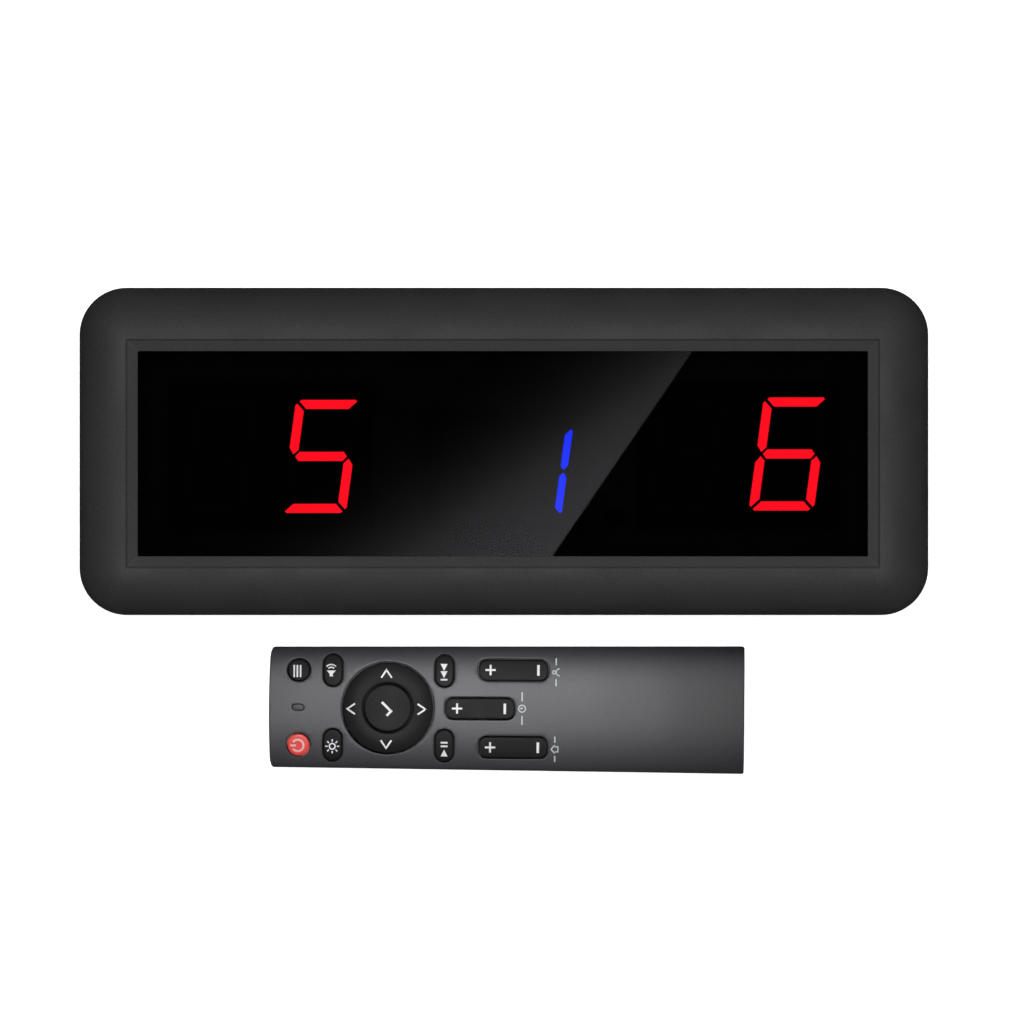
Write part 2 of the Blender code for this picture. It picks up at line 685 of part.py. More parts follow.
def remote_outline(inset=0.0):
    """Plan of the handset: a square tail at +X, and a narrower, slightly bowed nose at -X."""
    tail = REMOTE_LENGTH / 2 - inset
    tail_radius = max(REMOTE_TAIL_CORNER - inset, LEAST_RADIUS)
    tail_side = remote_half(tail) - inset - tail_radius
    nose_run, nose_rise = (max(run - inset, 2 * LEAST_RADIUS) for run in REMOTE_NOSE_CORNER)
    nose = -REMOTE_LENGTH / 2 + inset
    straight = remote_half(nose + nose_run) - inset - nose_rise
    points = []
    for step in range(3):
        angle = math.radians(45) * step
        x = tail - tail_radius * (1 - math.cos(angle))
        points.append((x, tail_side + tail_radius * math.sin(angle)))
    for step in range(5):
        angle = math.radians(90) * step / 4
        x = nose + REMOTE_BOW + nose_run * (1 - math.sin(angle))
        points.append((x, straight + nose_rise * math.cos(angle)))
    for share in (0.6, 0.2):
        points.append((nose + REMOTE_BOW * share**2, straight * share))
    return points + [(x, -y) for x, y in reversed(points)]


def make_remote_top(remote, finish):
    """Crowned upper shell with its key holes."""
    low_z = REMOTE_PARTING_Z + GAP
    sections = [remote_section(x, 0.0, low_z) for x in (-REMOTE_LENGTH, REMOTE_LENGTH)]
    shell = loft("remote_top_shell", remote, finish, sections, triangles=True)
    plan = prism("remote_plan", remote, finish, remote_outline(), 0.0, 2 * REMOTE_HEIGHT)
    combine(shell, "INTERSECT", [plan])

    inside = REMOTE_LENGTH / 2 - REMOTE_WALL
    nose_inside = -inside + REMOTE_BOW + REMOTE_NOSE_WEB
    hollow = [remote_section(x, REMOTE_WALL, 0.0) for x in (nose_inside, inside)]
    cut = [loft("hollow", remote, finish, hollow, triangles=True)]
    groove = remote_outline(REMOTE_TONGUE[0] - GAP)
    cut.append(prism("groove", remote, finish, groove, 0.0, REMOTE_TONGUE[1] + GAP))
    for _, x, y, size in PUSH_KEYS:
        cut.append(key_hole(remote, finish, x, y, size, min(size) / 2))
    for _, x, y in ROCKERS:
        cut.append(key_hole(remote, finish, x, y, ROCKER, ROCKER_CORNER))
    nav = circle(NAV_HOLE_RADIUS, NAV_STEPS, centre=(NAV_X, 0.0))
    cut.append(prism("nav_hole", remote, finish, nav, 0.0, 2 * REMOTE_HEIGHT))
    width, height = (size + 2 * GAP for size in INDICATOR)
    light = rounded_rectangle(width, height, height / 2, 2, INDICATOR_AT)
    cut.append(prism("indicator_hole", remote, finish, light, 0.0, 2 * REMOTE_HEIGHT))
    cut.append(ir_notch(remote, finish))
    return combine(shell, "DIFFERENCE", cut)


def key_hole(remote, finish, x, y, size, radius):
    """Cutter for one key's hole, a clear gap wider than the key."""
    outline = rounded_rectangle(size[0], size[1], radius, centre=(x, y))
    return prism("key_hole", remote, finish, outline, 0.0, 2 * REMOTE_HEIGHT)


def ir_notch(remote, finish):
    """Cutter for the infrared window in the nose."""
    nose = -REMOTE_LENGTH / 2
    low = (nose - REMOTE_WALL, -IR_WINDOW_HALF - GAP, IR_WINDOW_Z[0] - GAP)
    high = (nose + 2 * REMOTE_WALL, IR_WINDOW_HALF + GAP, IR_WINDOW_Z[1] + GAP)
    return box("ir_notch", remote, finish, low, high)


def make_remote_bottom(remote, finish):
    """Lower shell with the battery bay's ribs, the board's ribs and the door's opening."""
    section = quarter_ellipse(0.0, 0.0, REMOTE_BOTTOM_ROUND, REMOTE_BOTTOM_ROUND, 3)
    section = [(inset, REMOTE_BOTTOM_ROUND - z) for inset, z in reversed(section)]
    lip, lip_z = REMOTE_TONGUE
    section += [(0.0, REMOTE_PARTING_Z), (lip, REMOTE_PARTING_Z), (lip, lip_z), (REMOTE_WALL, lip_z)]
    section += [(REMOTE_WALL, REMOTE_WALL + 0.001), (REMOTE_WALL + 0.001, REMOTE_WALL)]
    rings = [at_height(remote_outline(inset), z) for inset, z in section]
    shell = loft("remote_bottom_shell", remote, finish, rings, triangles=True)

    door_rib = (BAY[1] + GAP, DOOR_LIP_Z + 2 * GAP)
    spans = [
        (BAY[0] - GAP - BAY_RIB, BAY[0] - GAP, REMOTE_WALL / 2, BAY_RIB_TOP_Z),
        (door_rib[0], door_rib[0] + REMOTE_RIB, door_rib[1], BAY_RIB_TOP_Z),
    ]
    spans += [(x, x + REMOTE_RIB, REMOTE_WALL / 2, REMOTE_BOARD_Z - GAP) for x in REMOTE_RIBS_X]
    ribs = []
    for low_x, high_x, low_z, high_z in spans:
        inside = remote_half(low_x) - REMOTE_WALL / 2
        ribs.append(box("rib", remote, finish, (low_x, -inside, low_z), (high_x, inside, high_z)))
    combine(shell, "UNION", ribs)

    tail = REMOTE_LENGTH / 2
    opening = box(
        "door_opening",
        remote,
        finish,
        (DOOR_LOW_X - GAP, -DOOR_HALF, -GAP),
        (tail + GAP, DOOR_HALF, DOOR_RAIL_Z - GAP),
    )
    end_notch = box(
        "door_notch",
        remote,
        finish,
        (tail - 2 * REMOTE_WALL, -DOOR_RAIL_HALF - GAP, -GAP),
        (tail + GAP, DOOR_RAIL_HALF + GAP, DOOR_LIP_Z + GAP),
    )
    return combine(shell, "DIFFERENCE", [opening, end_notch, ir_notch(remote, finish)])


def make_battery_door(remote, finish):
    """Door that slides out at the tail on two rails, its end rounded like the shell."""
    tail = REMOTE_LENGTH / 2
    half = DOOR_HALF - GAP
    section = [(DOOR_LOW_X, 0.0)]
    for step in range(4):
        angle = math.radians(30) * step
        x = tail - REMOTE_BOTTOM_ROUND * (1 - math.sin(angle))
        section.append((x, REMOTE_BOTTOM_ROUND * (1 - math.cos(angle))))
    section += [(tail, DOOR_LIP_Z), (tail - DOOR_WEB, DOOR_LIP_Z), (tail - DOOR_WEB, DOOR_THICKNESS)]
    section += [(DOOR_LOW_X, DOOR_THICKNESS)]
    rings = [[(x, y, z) for x, z in section] for y in (-half, half)]
    door = loft("battery_door", remote, finish, rings)
    rails = []
    low_x = DOOR_LOW_X + DOOR_RAIL_SHORT
    high_x = BAY[1] - DOOR_RAIL_SHORT
    spans = (
        (half - DOOR_WEB, half, DOOR_THICKNESS / 2),
        (half - DOOR_WEB / 2, DOOR_RAIL_HALF, DOOR_RAIL_Z),
    )
    for side in (-1, 1):
        for near, far, low_z in spans:
            low_y, high_y = sorted((side * near, side * far))
            rails.append(box("rail", remote, finish, (low_x, low_y, low_z), (high_x, high_y, DOOR_LIP_Z)))
    combine(door, "UNION", rails)
    width, half_length, depth = DOOR_GRIP
    grips = []
    for index in range(DOOR_GRIPS):
        x = DOOR_LOW_X + DOOR_GRIP_X + DOOR_GRIP_PITCH * index
        grips.append(
            box("grip_groove", remote, finish, (x, -half_length, -GAP), (x + width, half_length, depth))
        )
    return combine(door, "DIFFERENCE", grips)


# ================================================================ remote keys
def key_rings(x, y, size, radius, low_z, flange):
    """Rings of a key about its own middle: an optional flange, a wall, and a crowned top."""
    width = size[0] - 2 * KEY_GAP
    height = size[1] - 2 * KEY_GAP
    rings = []
    if flange:
        wide = rounded_rectangle(width + 2 * flange, height + 2 * flange, radius + flange)
        rings += [at_height(wide, low_z), at_height(wide, KEY_FLANGE_TOP_Z)]
        rings.append(at_height(rounded_rectangle(width, height, radius), KEY_FLANGE_TOP_Z))
    else:
        rings.append(at_height(rounded_rectangle(width, height, radius), low_z))
    for inset, drop in ((0.0, 0.0005), (0.0005, 0.0), (0.0016, 0.0)):
        outline = rounded_rectangle(width - 2 * inset, height - 2 * inset, radius - inset)
        rings.append([(px, py, remote_crown(x + px, y + py) + KEY_PROUD - drop) for px, py in outline])
    return rings


def moved(rings, lift):
    """Rings lowered by a lift, so that they stand about an origin at that height."""
    return [[(x, y, z - lift) for x, y, z in ring] for ring in rings]


def make_keys(remote, finishes):
    """Six push keys, the OK key and three rockers, each about its own axis."""
    for name, x, y, size in PUSH_KEYS:
        finish = finishes["red"] if name == "power_key" else finishes["key"]
        rings = key_rings(x, y, size, min(size) / 2 - KEY_GAP, KEY_LOW_Z, KEY_FLANGE)
        loft(name, remote, finish, moved(rings, KEY_LOW_Z), location=(x, y, KEY_LOW_Z))
    for name, x, y in ROCKERS:
        rings = key_rings(x, y, ROCKER, ROCKER_CORNER - KEY_GAP, ROCKER_LOW_Z, 0.0)
        loft(name, remote, finishes["key"], moved(rings, ROCKER_PIVOT_Z), location=(x, y, ROCKER_PIVOT_Z))
    top = REMOTE_HEIGHT + KEY_PROUD
    profile = [
        (OK_FLANGE_RADIUS, 0.0),
        (OK_FLANGE_RADIUS, 0.0006),
        (OK_KEY_RADIUS, 0.0006),
        (OK_KEY_RADIUS, top - KEY_LOW_Z - 0.0005),
        (OK_KEY_RADIUS - 0.0006, top - KEY_LOW_Z),
    ]
    turned("ok_key", remote, finishes["key"], profile, 24, location=(NAV_X, 0.0, KEY_LOW_Z))


def make_nav_ring(remote, finishes):
    """The ring that rocks four ways round the OK key, and the rubber ring under it."""
    face_z = remote_crown(NAV_X, NAV_RING_RADIUS) + KEY_PROUD
    top_z = REMOTE_HEIGHT + 0.0006
    section = [
        (NAV_RING_BORE, NAV_RING_LOW_Z),
        (NAV_RING_RADIUS, NAV_RING_LOW_Z),
        (NAV_RING_RADIUS, face_z - 0.0005),
        (NAV_RING_RADIUS - 0.0006, face_z),
        (0.0125, top_z - 0.0003),
        (NAV_RING_BORE + 0.0006, top_z),
        (NAV_RING_BORE, top_z - 0.0005),
    ]
    section = [(radius, z - NAV_PIVOT_Z) for radius, z in section]
    location = (NAV_X, 0.0, NAV_PIVOT_Z)
    turned("nav_ring", remote, finishes["key"], section, NAV_STEPS, closed=True, location=location)
    inner, outer = NAV_PAD_RADII
    low, high = (z - NAV_PIVOT_Z for z in NAV_PAD_Z)
    section = [(inner, low), (outer, low), (outer, high), (inner, high)]
    turned("nav_pad", remote, finishes["rubber"], section, 24, closed=True, location=location)


# ================================================================ inside the remote
def make_remote_inside(remote, finishes):
    """Board, keypad mat, indicator, infrared window and its lamp."""
    nose = -REMOTE_LENGTH / 2
    low_x, high_x = REMOTE_BOARD_X
    half = REMOTE_BOARD_HALF
    board_low = (low_x, -half, REMOTE_BOARD_Z)
    board_high = (high_x, half, REMOTE_BOARD_Z + REMOTE_BOARD_THICKNESS)
    box("remote_board", remote, finishes["board"], board_low, board_high)

    half -= MAT_EDGE
    mat_top = MAT_Z + MAT_THICKNESS
    mat_low = (low_x, -half, MAT_Z)
    mat = box("keypad_mat", remote, finishes["rubber"], mat_low, (high_x - MAT_EDGE, half, mat_top))
    notch_length, notch_half = MAT_NOTCH
    notch_low = (low_x - GAP, -notch_half, MAT_Z - GAP)
    notch_high = (low_x + notch_length, notch_half, mat_top + GAP)
    notch = box("mat_notch", remote, finishes["rubber"], notch_low, notch_high)
    combine(mat, "DIFFERENCE", [notch])

    light = rounded_rectangle(*INDICATOR, min(INDICATOR) / 2, 2, INDICATOR_AT)
    prism("indicator_lens", remote, finishes["clear"], light, MAT_Z, REMOTE_HEIGHT - GAP)

    window_x = nose + REMOTE_BOW / 2
    low = (window_x, -IR_WINDOW_HALF, IR_WINDOW_Z[0])
    high = (window_x + IR_WINDOW_THICKNESS, IR_WINDOW_HALF, IR_WINDOW_Z[1])
    box("remote_ir_window", remote, finishes["smoke"], low, high)

    tip = [(IR_LED_RADIUS + 0.0002, 0.0), (IR_LED_RADIUS + 0.0002, 0.0008), (IR_LED_RADIUS, 0.0008)]
    dome = [(IR_LED_RADIUS, 0.0030), (0.0013, 0.0036), (0.0007, 0.0041)]
    turned(
        "remote_ir_led",
        remote,
        finishes["clear"],
        tip + dome,
        location=(nose + 0.0068, 0.0, IR_LED_Z + 0.0005),
        rotation=ALONG_MINUS_X,
    )


def make_battery_bay(remote, finishes):
    """Two AAA cells, nose to tail, with their contact plates and springs."""
    plate_low = BAY[0] + GAP
    plate_high = BAY[1] - GAP
    cell_low = plate_low + CONTACT_THICKNESS + GAP
    cell_high = plate_high - CONTACT_THICKNESS - GAP
    nub_radius, nub_length = BATTERY_NUB
    can_length = BATTERY_LENGTH - nub_length
    cell = [
        (0.0046, 0.0),
        (BATTERY_RADIUS, 0.0004),
        (BATTERY_RADIUS, can_length - 0.0004),
        (0.0046, can_length),
        (nub_radius, can_length),
        (nub_radius, BATTERY_LENGTH),
    ]
    spring_length = cell_high - cell_low - BATTERY_LENGTH - GAP
    cells = (
        ("battery_a", BATTERY_Y, cell_low + BATTERY_LENGTH, ALONG_MINUS_X, cell_high, -1),
        ("battery_b", -BATTERY_Y, cell_high - BATTERY_LENGTH, ALONG_X, cell_low, 1),
    )
    for name, y, base_x, rotation, spring_x, way in cells:
        turned(
            name, remote, finishes["cell"], cell, 16, location=(base_x, y, BATTERY_Z), rotation=rotation
        )
        route = spring_route((spring_x, y, BATTERY_Z), way, spring_length)
        spring_name = name.replace("battery", "contact_spring")
        wire(spring_name, remote, finishes["metal"], route, SPRING_WIRE)

    near, far = CONTACT_Y
    low_z, high_z = CONTACT_Z
    plates = (
        ("contact_positive", plate_low, near, far),
        ("contact_negative", plate_low, -far, -near),
        ("contact_bridge", plate_high - CONTACT_THICKNESS, -far, far),
    )
    for name, x, low_y, high_y in plates:
        high_corner = (x + CONTACT_THICKNESS, high_y, high_z)
        box(name, remote, finishes["metal"], (x, low_y, low_z), high_corner)


def spring_route(base, way, length, turns=3, steps=10):
    """Points of a cone-shaped coil that starts at its base and runs along X."""
    wide, narrow = SPRING_RADII
    points = []
    for step in range(turns * steps + 1):
        share = step / (turns * steps)
        radius = wide + (narrow - wide) * share
        angle = math.tau * turns * share
        x = base[0] + way * (SPRING_WIRE + share * (length - 2 * SPRING_WIRE))
        points.append((x, base[1] + radius * math.cos(angle), base[2] + radius * math.sin(angle)))
    return points


# ================================================================ assembly
def main():
    """Builds the timer and its remote."""
    for old in list(bpy.data.objects):
        bpy.data.objects.remove(old)
    case = material("case_plastic", (0.030, 0.031, 0.033), 0.50)
    window = material("smoked_window", (0.004, 0.004, 0.005), 0.05)
    steel = material("steel", (0.55, 0.55, 0.56), 0.30, 1.0)
    dark = material("dark_component", (0.020, 0.020, 0.022), 0.45)
    black_board = material("black_solder_mask", (0.010, 0.011, 0.011), 0.50)
    board = material("green_solder_mask", (0.020, 0.110, 0.040), 0.45)
    foam = material("black_foam", (0.020, 0.020, 0.020), 0.90)
    shell = material("gunmetal_plastic", (0.120, 0.120, 0.127), 0.42, 0.35)
    key = material("key_rubber", (0.022, 0.022, 0.024), 0.55)
    red = material("red_key", (0.490, 0.075, 0.070), 0.45)
    rubber = material("grey_rubber", (0.150, 0.150, 0.155), 0.70)
    clear = material("clear_plastic", (0.600, 0.600, 0.620), 0.15)
    smoke = material("infrared_filter", (0.020, 0.004, 0.010), 0.10)
    cell = material("battery_jacket", (0.060, 0.065, 0.075), 0.35, 0.20)

    timer = frame_empty("timer_frame", (0.0, 0.0, 0.0))
    make_front_bezel(timer, case)
    make_rear_shell(timer, case)
    make_window(timer, window)
    make_gasket(timer, foam)
    make_display_board(timer, black_board)
    make_digits(timer, dark)
    make_board_parts(timer, {"dark": dark, "metal": steel})
    make_power_inlet(timer, {"dark": dark, "metal": steel})
    make_screws(timer, steel)

    remote = frame_empty("remote_frame", REMOTE_AT)
    remote.rotation_euler = (0.0, 0.0, REMOTE_TURN)
    make_remote_top(remote, shell)
    make_remote_bottom(remote, shell)
    make_battery_door(remote, shell)
    make_keys(remote, {"key": key, "red": red})
    make_nav_ring(remote, {"key": key, "rubber": rubber})
    make_remote_inside(remote, {"board": board, "rubber": rubber, "clear": clear, "smoke": smoke})
    make_battery_bay(remote, {"cell": cell, "metal": steel})


main()
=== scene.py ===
"""Looks of the gym score and round timer and its remote control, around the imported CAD.

Units are metres in the CAD's frame: +X along the display, +Y to its top, +Z out of its face.
The timer's pieces are drawn about the origin and the remote's about the handset's middle.
"""

import json
from math import atan, ceil, copysign, cos, hypot, pi, radians, sin, sqrt, tan, tau

import bmesh
import bpy
from mathutils import Matrix, Vector

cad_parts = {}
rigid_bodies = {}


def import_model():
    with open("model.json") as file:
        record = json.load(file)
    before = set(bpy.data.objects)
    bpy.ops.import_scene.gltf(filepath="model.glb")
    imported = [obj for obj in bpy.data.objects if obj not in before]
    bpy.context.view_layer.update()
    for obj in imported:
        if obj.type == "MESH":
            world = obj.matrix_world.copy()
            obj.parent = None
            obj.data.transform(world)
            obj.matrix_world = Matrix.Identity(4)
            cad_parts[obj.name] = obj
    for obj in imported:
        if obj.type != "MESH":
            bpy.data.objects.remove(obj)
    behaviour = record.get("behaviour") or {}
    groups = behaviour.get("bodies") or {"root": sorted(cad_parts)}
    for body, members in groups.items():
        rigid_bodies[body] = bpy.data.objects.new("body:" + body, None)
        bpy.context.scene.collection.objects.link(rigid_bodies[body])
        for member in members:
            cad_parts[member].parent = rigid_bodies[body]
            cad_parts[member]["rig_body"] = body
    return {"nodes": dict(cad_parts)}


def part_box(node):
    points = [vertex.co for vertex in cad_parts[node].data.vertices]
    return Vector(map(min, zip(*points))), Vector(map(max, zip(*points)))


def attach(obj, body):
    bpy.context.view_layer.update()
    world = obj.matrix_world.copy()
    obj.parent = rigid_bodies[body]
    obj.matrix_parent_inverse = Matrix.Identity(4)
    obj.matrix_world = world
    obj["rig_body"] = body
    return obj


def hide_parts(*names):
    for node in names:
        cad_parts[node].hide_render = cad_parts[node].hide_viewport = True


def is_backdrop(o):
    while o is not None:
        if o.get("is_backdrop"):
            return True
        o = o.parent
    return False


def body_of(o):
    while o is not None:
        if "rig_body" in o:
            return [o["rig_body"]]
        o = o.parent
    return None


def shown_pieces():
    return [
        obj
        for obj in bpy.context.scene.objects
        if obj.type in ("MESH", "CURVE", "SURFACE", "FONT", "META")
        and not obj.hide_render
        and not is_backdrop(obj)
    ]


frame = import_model()
scene = bpy.context.scene
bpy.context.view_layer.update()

MM = 0.001
WELD = 0.0005 * MM
GAP = 0.3 * MM
SMOOTH_ANGLE = radians(32)
BEVEL_ANGLE = radians(40)


def mm(*points):
    """Points given in millimetres, in metres."""
    return [tuple(value * MM for value in point) for point in points]


def centre_of(node):
    """The middle of a node's box."""
    low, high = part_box(node)
    return (low + high) / 2


# ---- the case, as the CAD has it
case_low, case_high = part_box("front_bezel")
CASE_WIDTH = case_high.x - case_low.x
CASE_HEIGHT = case_high.y - case_low.y
CASE_DEPTH = case_high.z
CASE_CORNER = 15.6 * MM
CASE_WALL = 2.5 * MM
CORNER_STEPS = 22
PARTING_Z = 20.0 * MM
TONGUE_INSET = 1.3 * MM
TONGUE_TOP_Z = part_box("rear_shell")[1].z
BACK_ROUND = 4.0 * MM
CROWN_START_Z = 27.0 * MM
CROWN_RUN = 15.7 * MM
RIM = mm(
    (15.80, 44.97), (15.88, 44.90), (15.92, 44.60), (15.95, 44.10), (16.15, 44.05), (16.24, 44.32),
    (16.34, 44.36), (19.50, 43.46), (19.62, 43.42), (19.70, 43.32),
)
OPENING_INSET = 19.7 * MM
OPENING_SHIFT = (-0.35 * MM, -0.85 * MM)
OPENING_TRIM = (0.7 * MM, 1.2 * MM)
LIP_Z = 42.3 * MM
POCKET_INSET = 17.4 * MM
POCKET_BACK = 15.4 * MM
POCKET_Z = 38.5 * MM
WINDOW_LOW_Z, WINDOW_TOP_Z = (corner.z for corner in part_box("display_window"))
DIGIT_SLANT = radians(7.7)
TIP_CUT = 1.2 * MM
BAR_EDGE = mm((0.04, -0.36), (0.04, -0.06), (0.10, 0.0))
DIGIT_TOP_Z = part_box("digit_home_ones")[1].z
RED_FIGURE = {"size": (21.5 * MM, 37.3 * MM), "stroke": 3.1 * MM, "split": 0.9 * MM}
BLUE_FIGURE = {"size": (14.6 * MM, 29.7 * MM), "stroke": 2.5 * MM, "split": 0.5 * MM}
RED_LEAST_WIDTH = 30 * MM
SEGMENTS_ON = {
    "digit_home_tens": "", "digit_home_ones": "acdfg", "digit_period_tens": "",
    "digit_period_ones": "bc", "digit_guest_tens": "", "digit_guest_ones": "acdefg",
}
SEGMENT_ORDER = "abcdefg"
SCREW_X = 125.0 * MM
SCREW_Y = 45.0 * MM
SCREW_SEAT_Z = 14.0 * MM
SCREW_COUNT = 6
POST_RADIUS = 4.4 * MM
WELL_RADIUS = 3.1 * MM
BORE_RADIUS = 1.8 * MM
KEYHOLE = {"x": 90.0 * MM, "y": 20.0 * MM, "radius": 4.5 * MM, "slot": 2.3 * MM, "rise": 9.0 * MM}
GRILLE = {"x": 55.0 * MM, "y": -20.0 * MM, "count": 5, "pitch": 4.2 * MM, "slot": (2.0 * MM, 16.0 * MM)}
JACK_Y = -20.0 * MM
JACK_Z = 11.0 * MM
INLET_RADIUS = 4.2 * MM
CRADLE_WALLS = mm((-26.2, -24.8), (-15.2, -13.8))
CRADLE_RUN = 14.5 * MM
CRADLE_TOP_Z = 13 * MM
SOCKET_BACK_X = CASE_WIDTH / 2 - CASE_WALL - GAP
LYING = (0.0, radians(90), 0.0)

# ---- the remote, as the CAD has it
REMOTE_AT = Vector((0.9, -85.1, 0.0)) * MM
REMOTE_TURN = radians(-0.42)
AT_REMOTE = {"location": REMOTE_AT, "rotation": (0.0, 0.0, REMOTE_TURN)}
REMOTE_LENGTH = 157.3 * MM
REMOTE_NOSE_HALF = 19.9 * MM
REMOTE_TAIL_HALF = 21.09 * MM
REMOTE_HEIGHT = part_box("remote_top_shell")[1].z
REMOTE_WALL = 1.5 * MM
REMOTE_EDGE_Z = 11.5 * MM
REMOTE_CROWN_POWER = 2.3
REMOTE_PARTING_Z = 9.0 * MM
REMOTE_BOW = 0.3 * MM
REMOTE_NOSE_CORNER = (1.4 * MM, 4.2 * MM)
REMOTE_TAIL_CORNER = 0.6 * MM
REMOTE_BOTTOM_ROUND = 2.5 * MM
REMOTE_GROOVE = 0.4 * MM
REMOTE_GROOVE_TOP_Z = 10.5 * MM
REMOTE_TONGUE = 0.7 * MM
REMOTE_TONGUE_TOP_Z = 10.2 * MM
KEY_PROUD = 0.9 * MM
KEY_GAP = 0.35 * MM
NAV_HOLE = 15.4 * MM
BAY = (20.0 * MM, 73.2 * MM)
DOOR_LOW_X = 22.0 * MM
DOOR_HALF = 13.0 * MM
DOOR_LIP_Z = 2.8 * MM
DOOR_RAIL_HALF = 14.3 * MM
DOOR_RAIL_Z = 1.8 * MM
RIB_X = (-60, -20, 8)
RIB_WIDTH = 1.2
RIB_TOP_Z = 7.6 * MM
BAY_END_TOP_Z = 10 * MM
BAY_END_WALLS = (1.4 * MM, 1.2 * MM)


# ---- outlines and solids
def between(start, end, share):
    """The point a share of the way from one point to another."""
    return tuple(a + (b - a) * share for a, b in zip(start, end))


def stretched(outline, x_share, y_share):
    """An outline mirrored or scaled along X and Y."""
    return [(x_share * x, y_share * y) for x, y in outline]


def ways(points):
    """The direction from each point to the next, and from the last one to the first."""
    places = [Vector(point) for point in points]
    return [(after - here).normalized() for here, after in zip(places, places[1:] + places[:1])]


def quarter_turns(steps):
    """Angles from nothing to a right angle."""
    return [radians(90) * step / steps for step in range(steps + 1)]


def rounded_rectangle(width, height, radius, steps=10, centre=(0.0, 0.0), spacing=1):
    """Outline points, anticlockwise from the +X +Y corner, each side in equal spaces."""
    radius = max(radius, 0.4 * MM)
    arcs = []
    for quarter, (side_x, side_y) in enumerate(((1, 1), (-1, 1), (-1, -1), (1, -1))):
        corner_x = centre[0] + side_x * (width / 2 - radius)
        corner_y = centre[1] + side_y * (height / 2 - radius)
        for step in range(steps + 1):
            angle = radians(90) * (quarter + step / steps)
            arcs.append((corner_x + radius * cos(angle), corner_y + radius * sin(angle)))
    points = []
    for index, here in enumerate(arcs):
        points.append(here)
        if (index + 1) % (steps + 1) == 0:
            there = arcs[(index + 1) % len(arcs)]
            points += [between(here, there, share / spacing) for share in range(1, spacing)]
    return points


def circle(radius, steps=32, centre=(0.0, 0.0)):
    """Outline points of a circle, anticlockwise."""
    turns = [tau * step / steps for step in range(steps)]
    return [(centre[0] + radius * cos(turn), centre[1] + radius * sin(turn)) for turn in turns]


def at_height(outline, z):
    """An outline's points at one height."""
    return [(x, y, z) for x, y in outline]


def quarter_ellipse(inset, z, run, rise, steps):
    """(inset, height) points of a curve that leaves the wall upright and ends level."""
    return [(inset + run * (1 - cos(a)), z + rise * sin(a)) for a in quarter_turns(steps)]


def add_loft(shape, rings, closed=False):
    """Adds a closed solid through rings of points to a bmesh."""
    loops = [[shape.verts.new(point) for point in ring] for ring in rings]
    pairs = list(zip(loops, loops[1:]))
    if closed:
        pairs.append((loops[-1], loops[0]))
    else:
        shape.faces.new(reversed(loops[0]))
        shape.faces.new(loops[-1])
    for low, high in pairs:
        for here in range(len(low)):
            there = (here + 1) % len(low)
            shape.faces.new((low[here], low[there], high[there], high[here]))


def weld(shape):
    """Joins points that lie on each other, which leaves no face without area."""
    bmesh.ops.remove_doubles(shape, verts=shape.verts, dist=WELD)
    bmesh.ops.dissolve_degenerate(shape, edges=shape.edges, dist=WELD)


def set_up(thing, **settings):
    """Gives a thing its settings."""
    for name, value in settings.items():
        setattr(thing, name, value)
    return thing


def add_object(name, data, **settings):
    """Puts an object with its data and settings in the scene."""
    made = bpy.data.objects.new(name, data)
    scene.collection.objects.link(made)
    return set_up(made, **settings)


def to_object(name, shape, location=(0, 0, 0), rotation=(0, 0, 0)):
    """Makes a bmesh an object in the scene."""
    weld(shape)
    bmesh.ops.recalc_face_normals(shape, faces=shape.faces)
    mesh = bpy.data.meshes.new(name)
    shape.to_mesh(mesh)
    shape.free()
    return add_object(name, mesh, location=location, rotation_euler=rotation)


def loft(name, rings, closed=False, **placing):
    """An object with one solid through rings of points."""
    shape = bmesh.new()
    add_loft(shape, rings, closed)
    return to_object(name, shape, **placing)


def prism(outline, low, high, name="helper", **placing):
    """An upright solid with one outline from low to high."""
    return loft(name, [at_height(outline, low), at_height(outline, high)], **placing)


def block(low, high, **placing):
    """A box from its lowest corner to its highest."""
    outline = [(high[0], high[1]), (low[0], high[1]), (low[0], low[1]), (high[0], low[1])]
    return prism(outline, low[2], high[2], **placing)


def remote_block(low, high):
    """A box in the handset's frame."""
    return block(low, high, **AT_REMOTE)


def turned(name, profile, steps=48, closed=False, **placing):
    """A solid of revolution about its own Z from (radius, height) points."""
    return loft(name, [at_height(circle(radius, steps), z) for radius, z in profile], closed, **placing)


def round_over(edge, angles):
    """(step in, drop) pairs down an edge's rounding, from its wall to its face."""
    return [(edge * (1 - cos(a)), edge * (1 - sin(a))) for a in (*angles, pi / 2)]


def foot_round(radius, steps):
    """(inset, height) points of a rounded lower edge, from the base to the wall."""
    return [(inset, radius - z) for inset, z in reversed(quarter_ellipse(0.0, 0.0, radius, radius, steps))]


def modify(piece, kind, **settings):
    """Adds a modifier with its settings."""
    set_up(piece.modifiers.new(kind.title(), kind), **settings)


def settle(piece):
    """Makes the piece's modifiers part of its mesh."""
    bpy.context.view_layer.update()
    evaluated = piece.evaluated_get(bpy.context.evaluated_depsgraph_get())
    mesh = bpy.data.meshes.new_from_object(evaluated)
    piece.modifiers.clear()
    piece.data = mesh


def combine(target, operation, helpers):
    """Cuts the helpers from the target, or joins them to it, and removes them."""
    group = bpy.data.collections.new(f"{target.name}_{operation.lower()}")
    scene.collection.children.link(group)
    for helper in helpers:
        scene.collection.objects.unlink(helper)
        group.objects.link(helper)
    settings = {"operation": operation, "solver": "EXACT", "operand_type": "COLLECTION"}
    modify(target, "BOOLEAN", **settings, collection=group)
    settle(target)
    shape = bmesh.new()
    shape.from_mesh(target.data)
    weld(shape)
    shape.to_mesh(target.data)
    shape.free()
    for helper in helpers:
        bpy.data.objects.remove(helper)
    bpy.data.collections.remove(group)
    return target


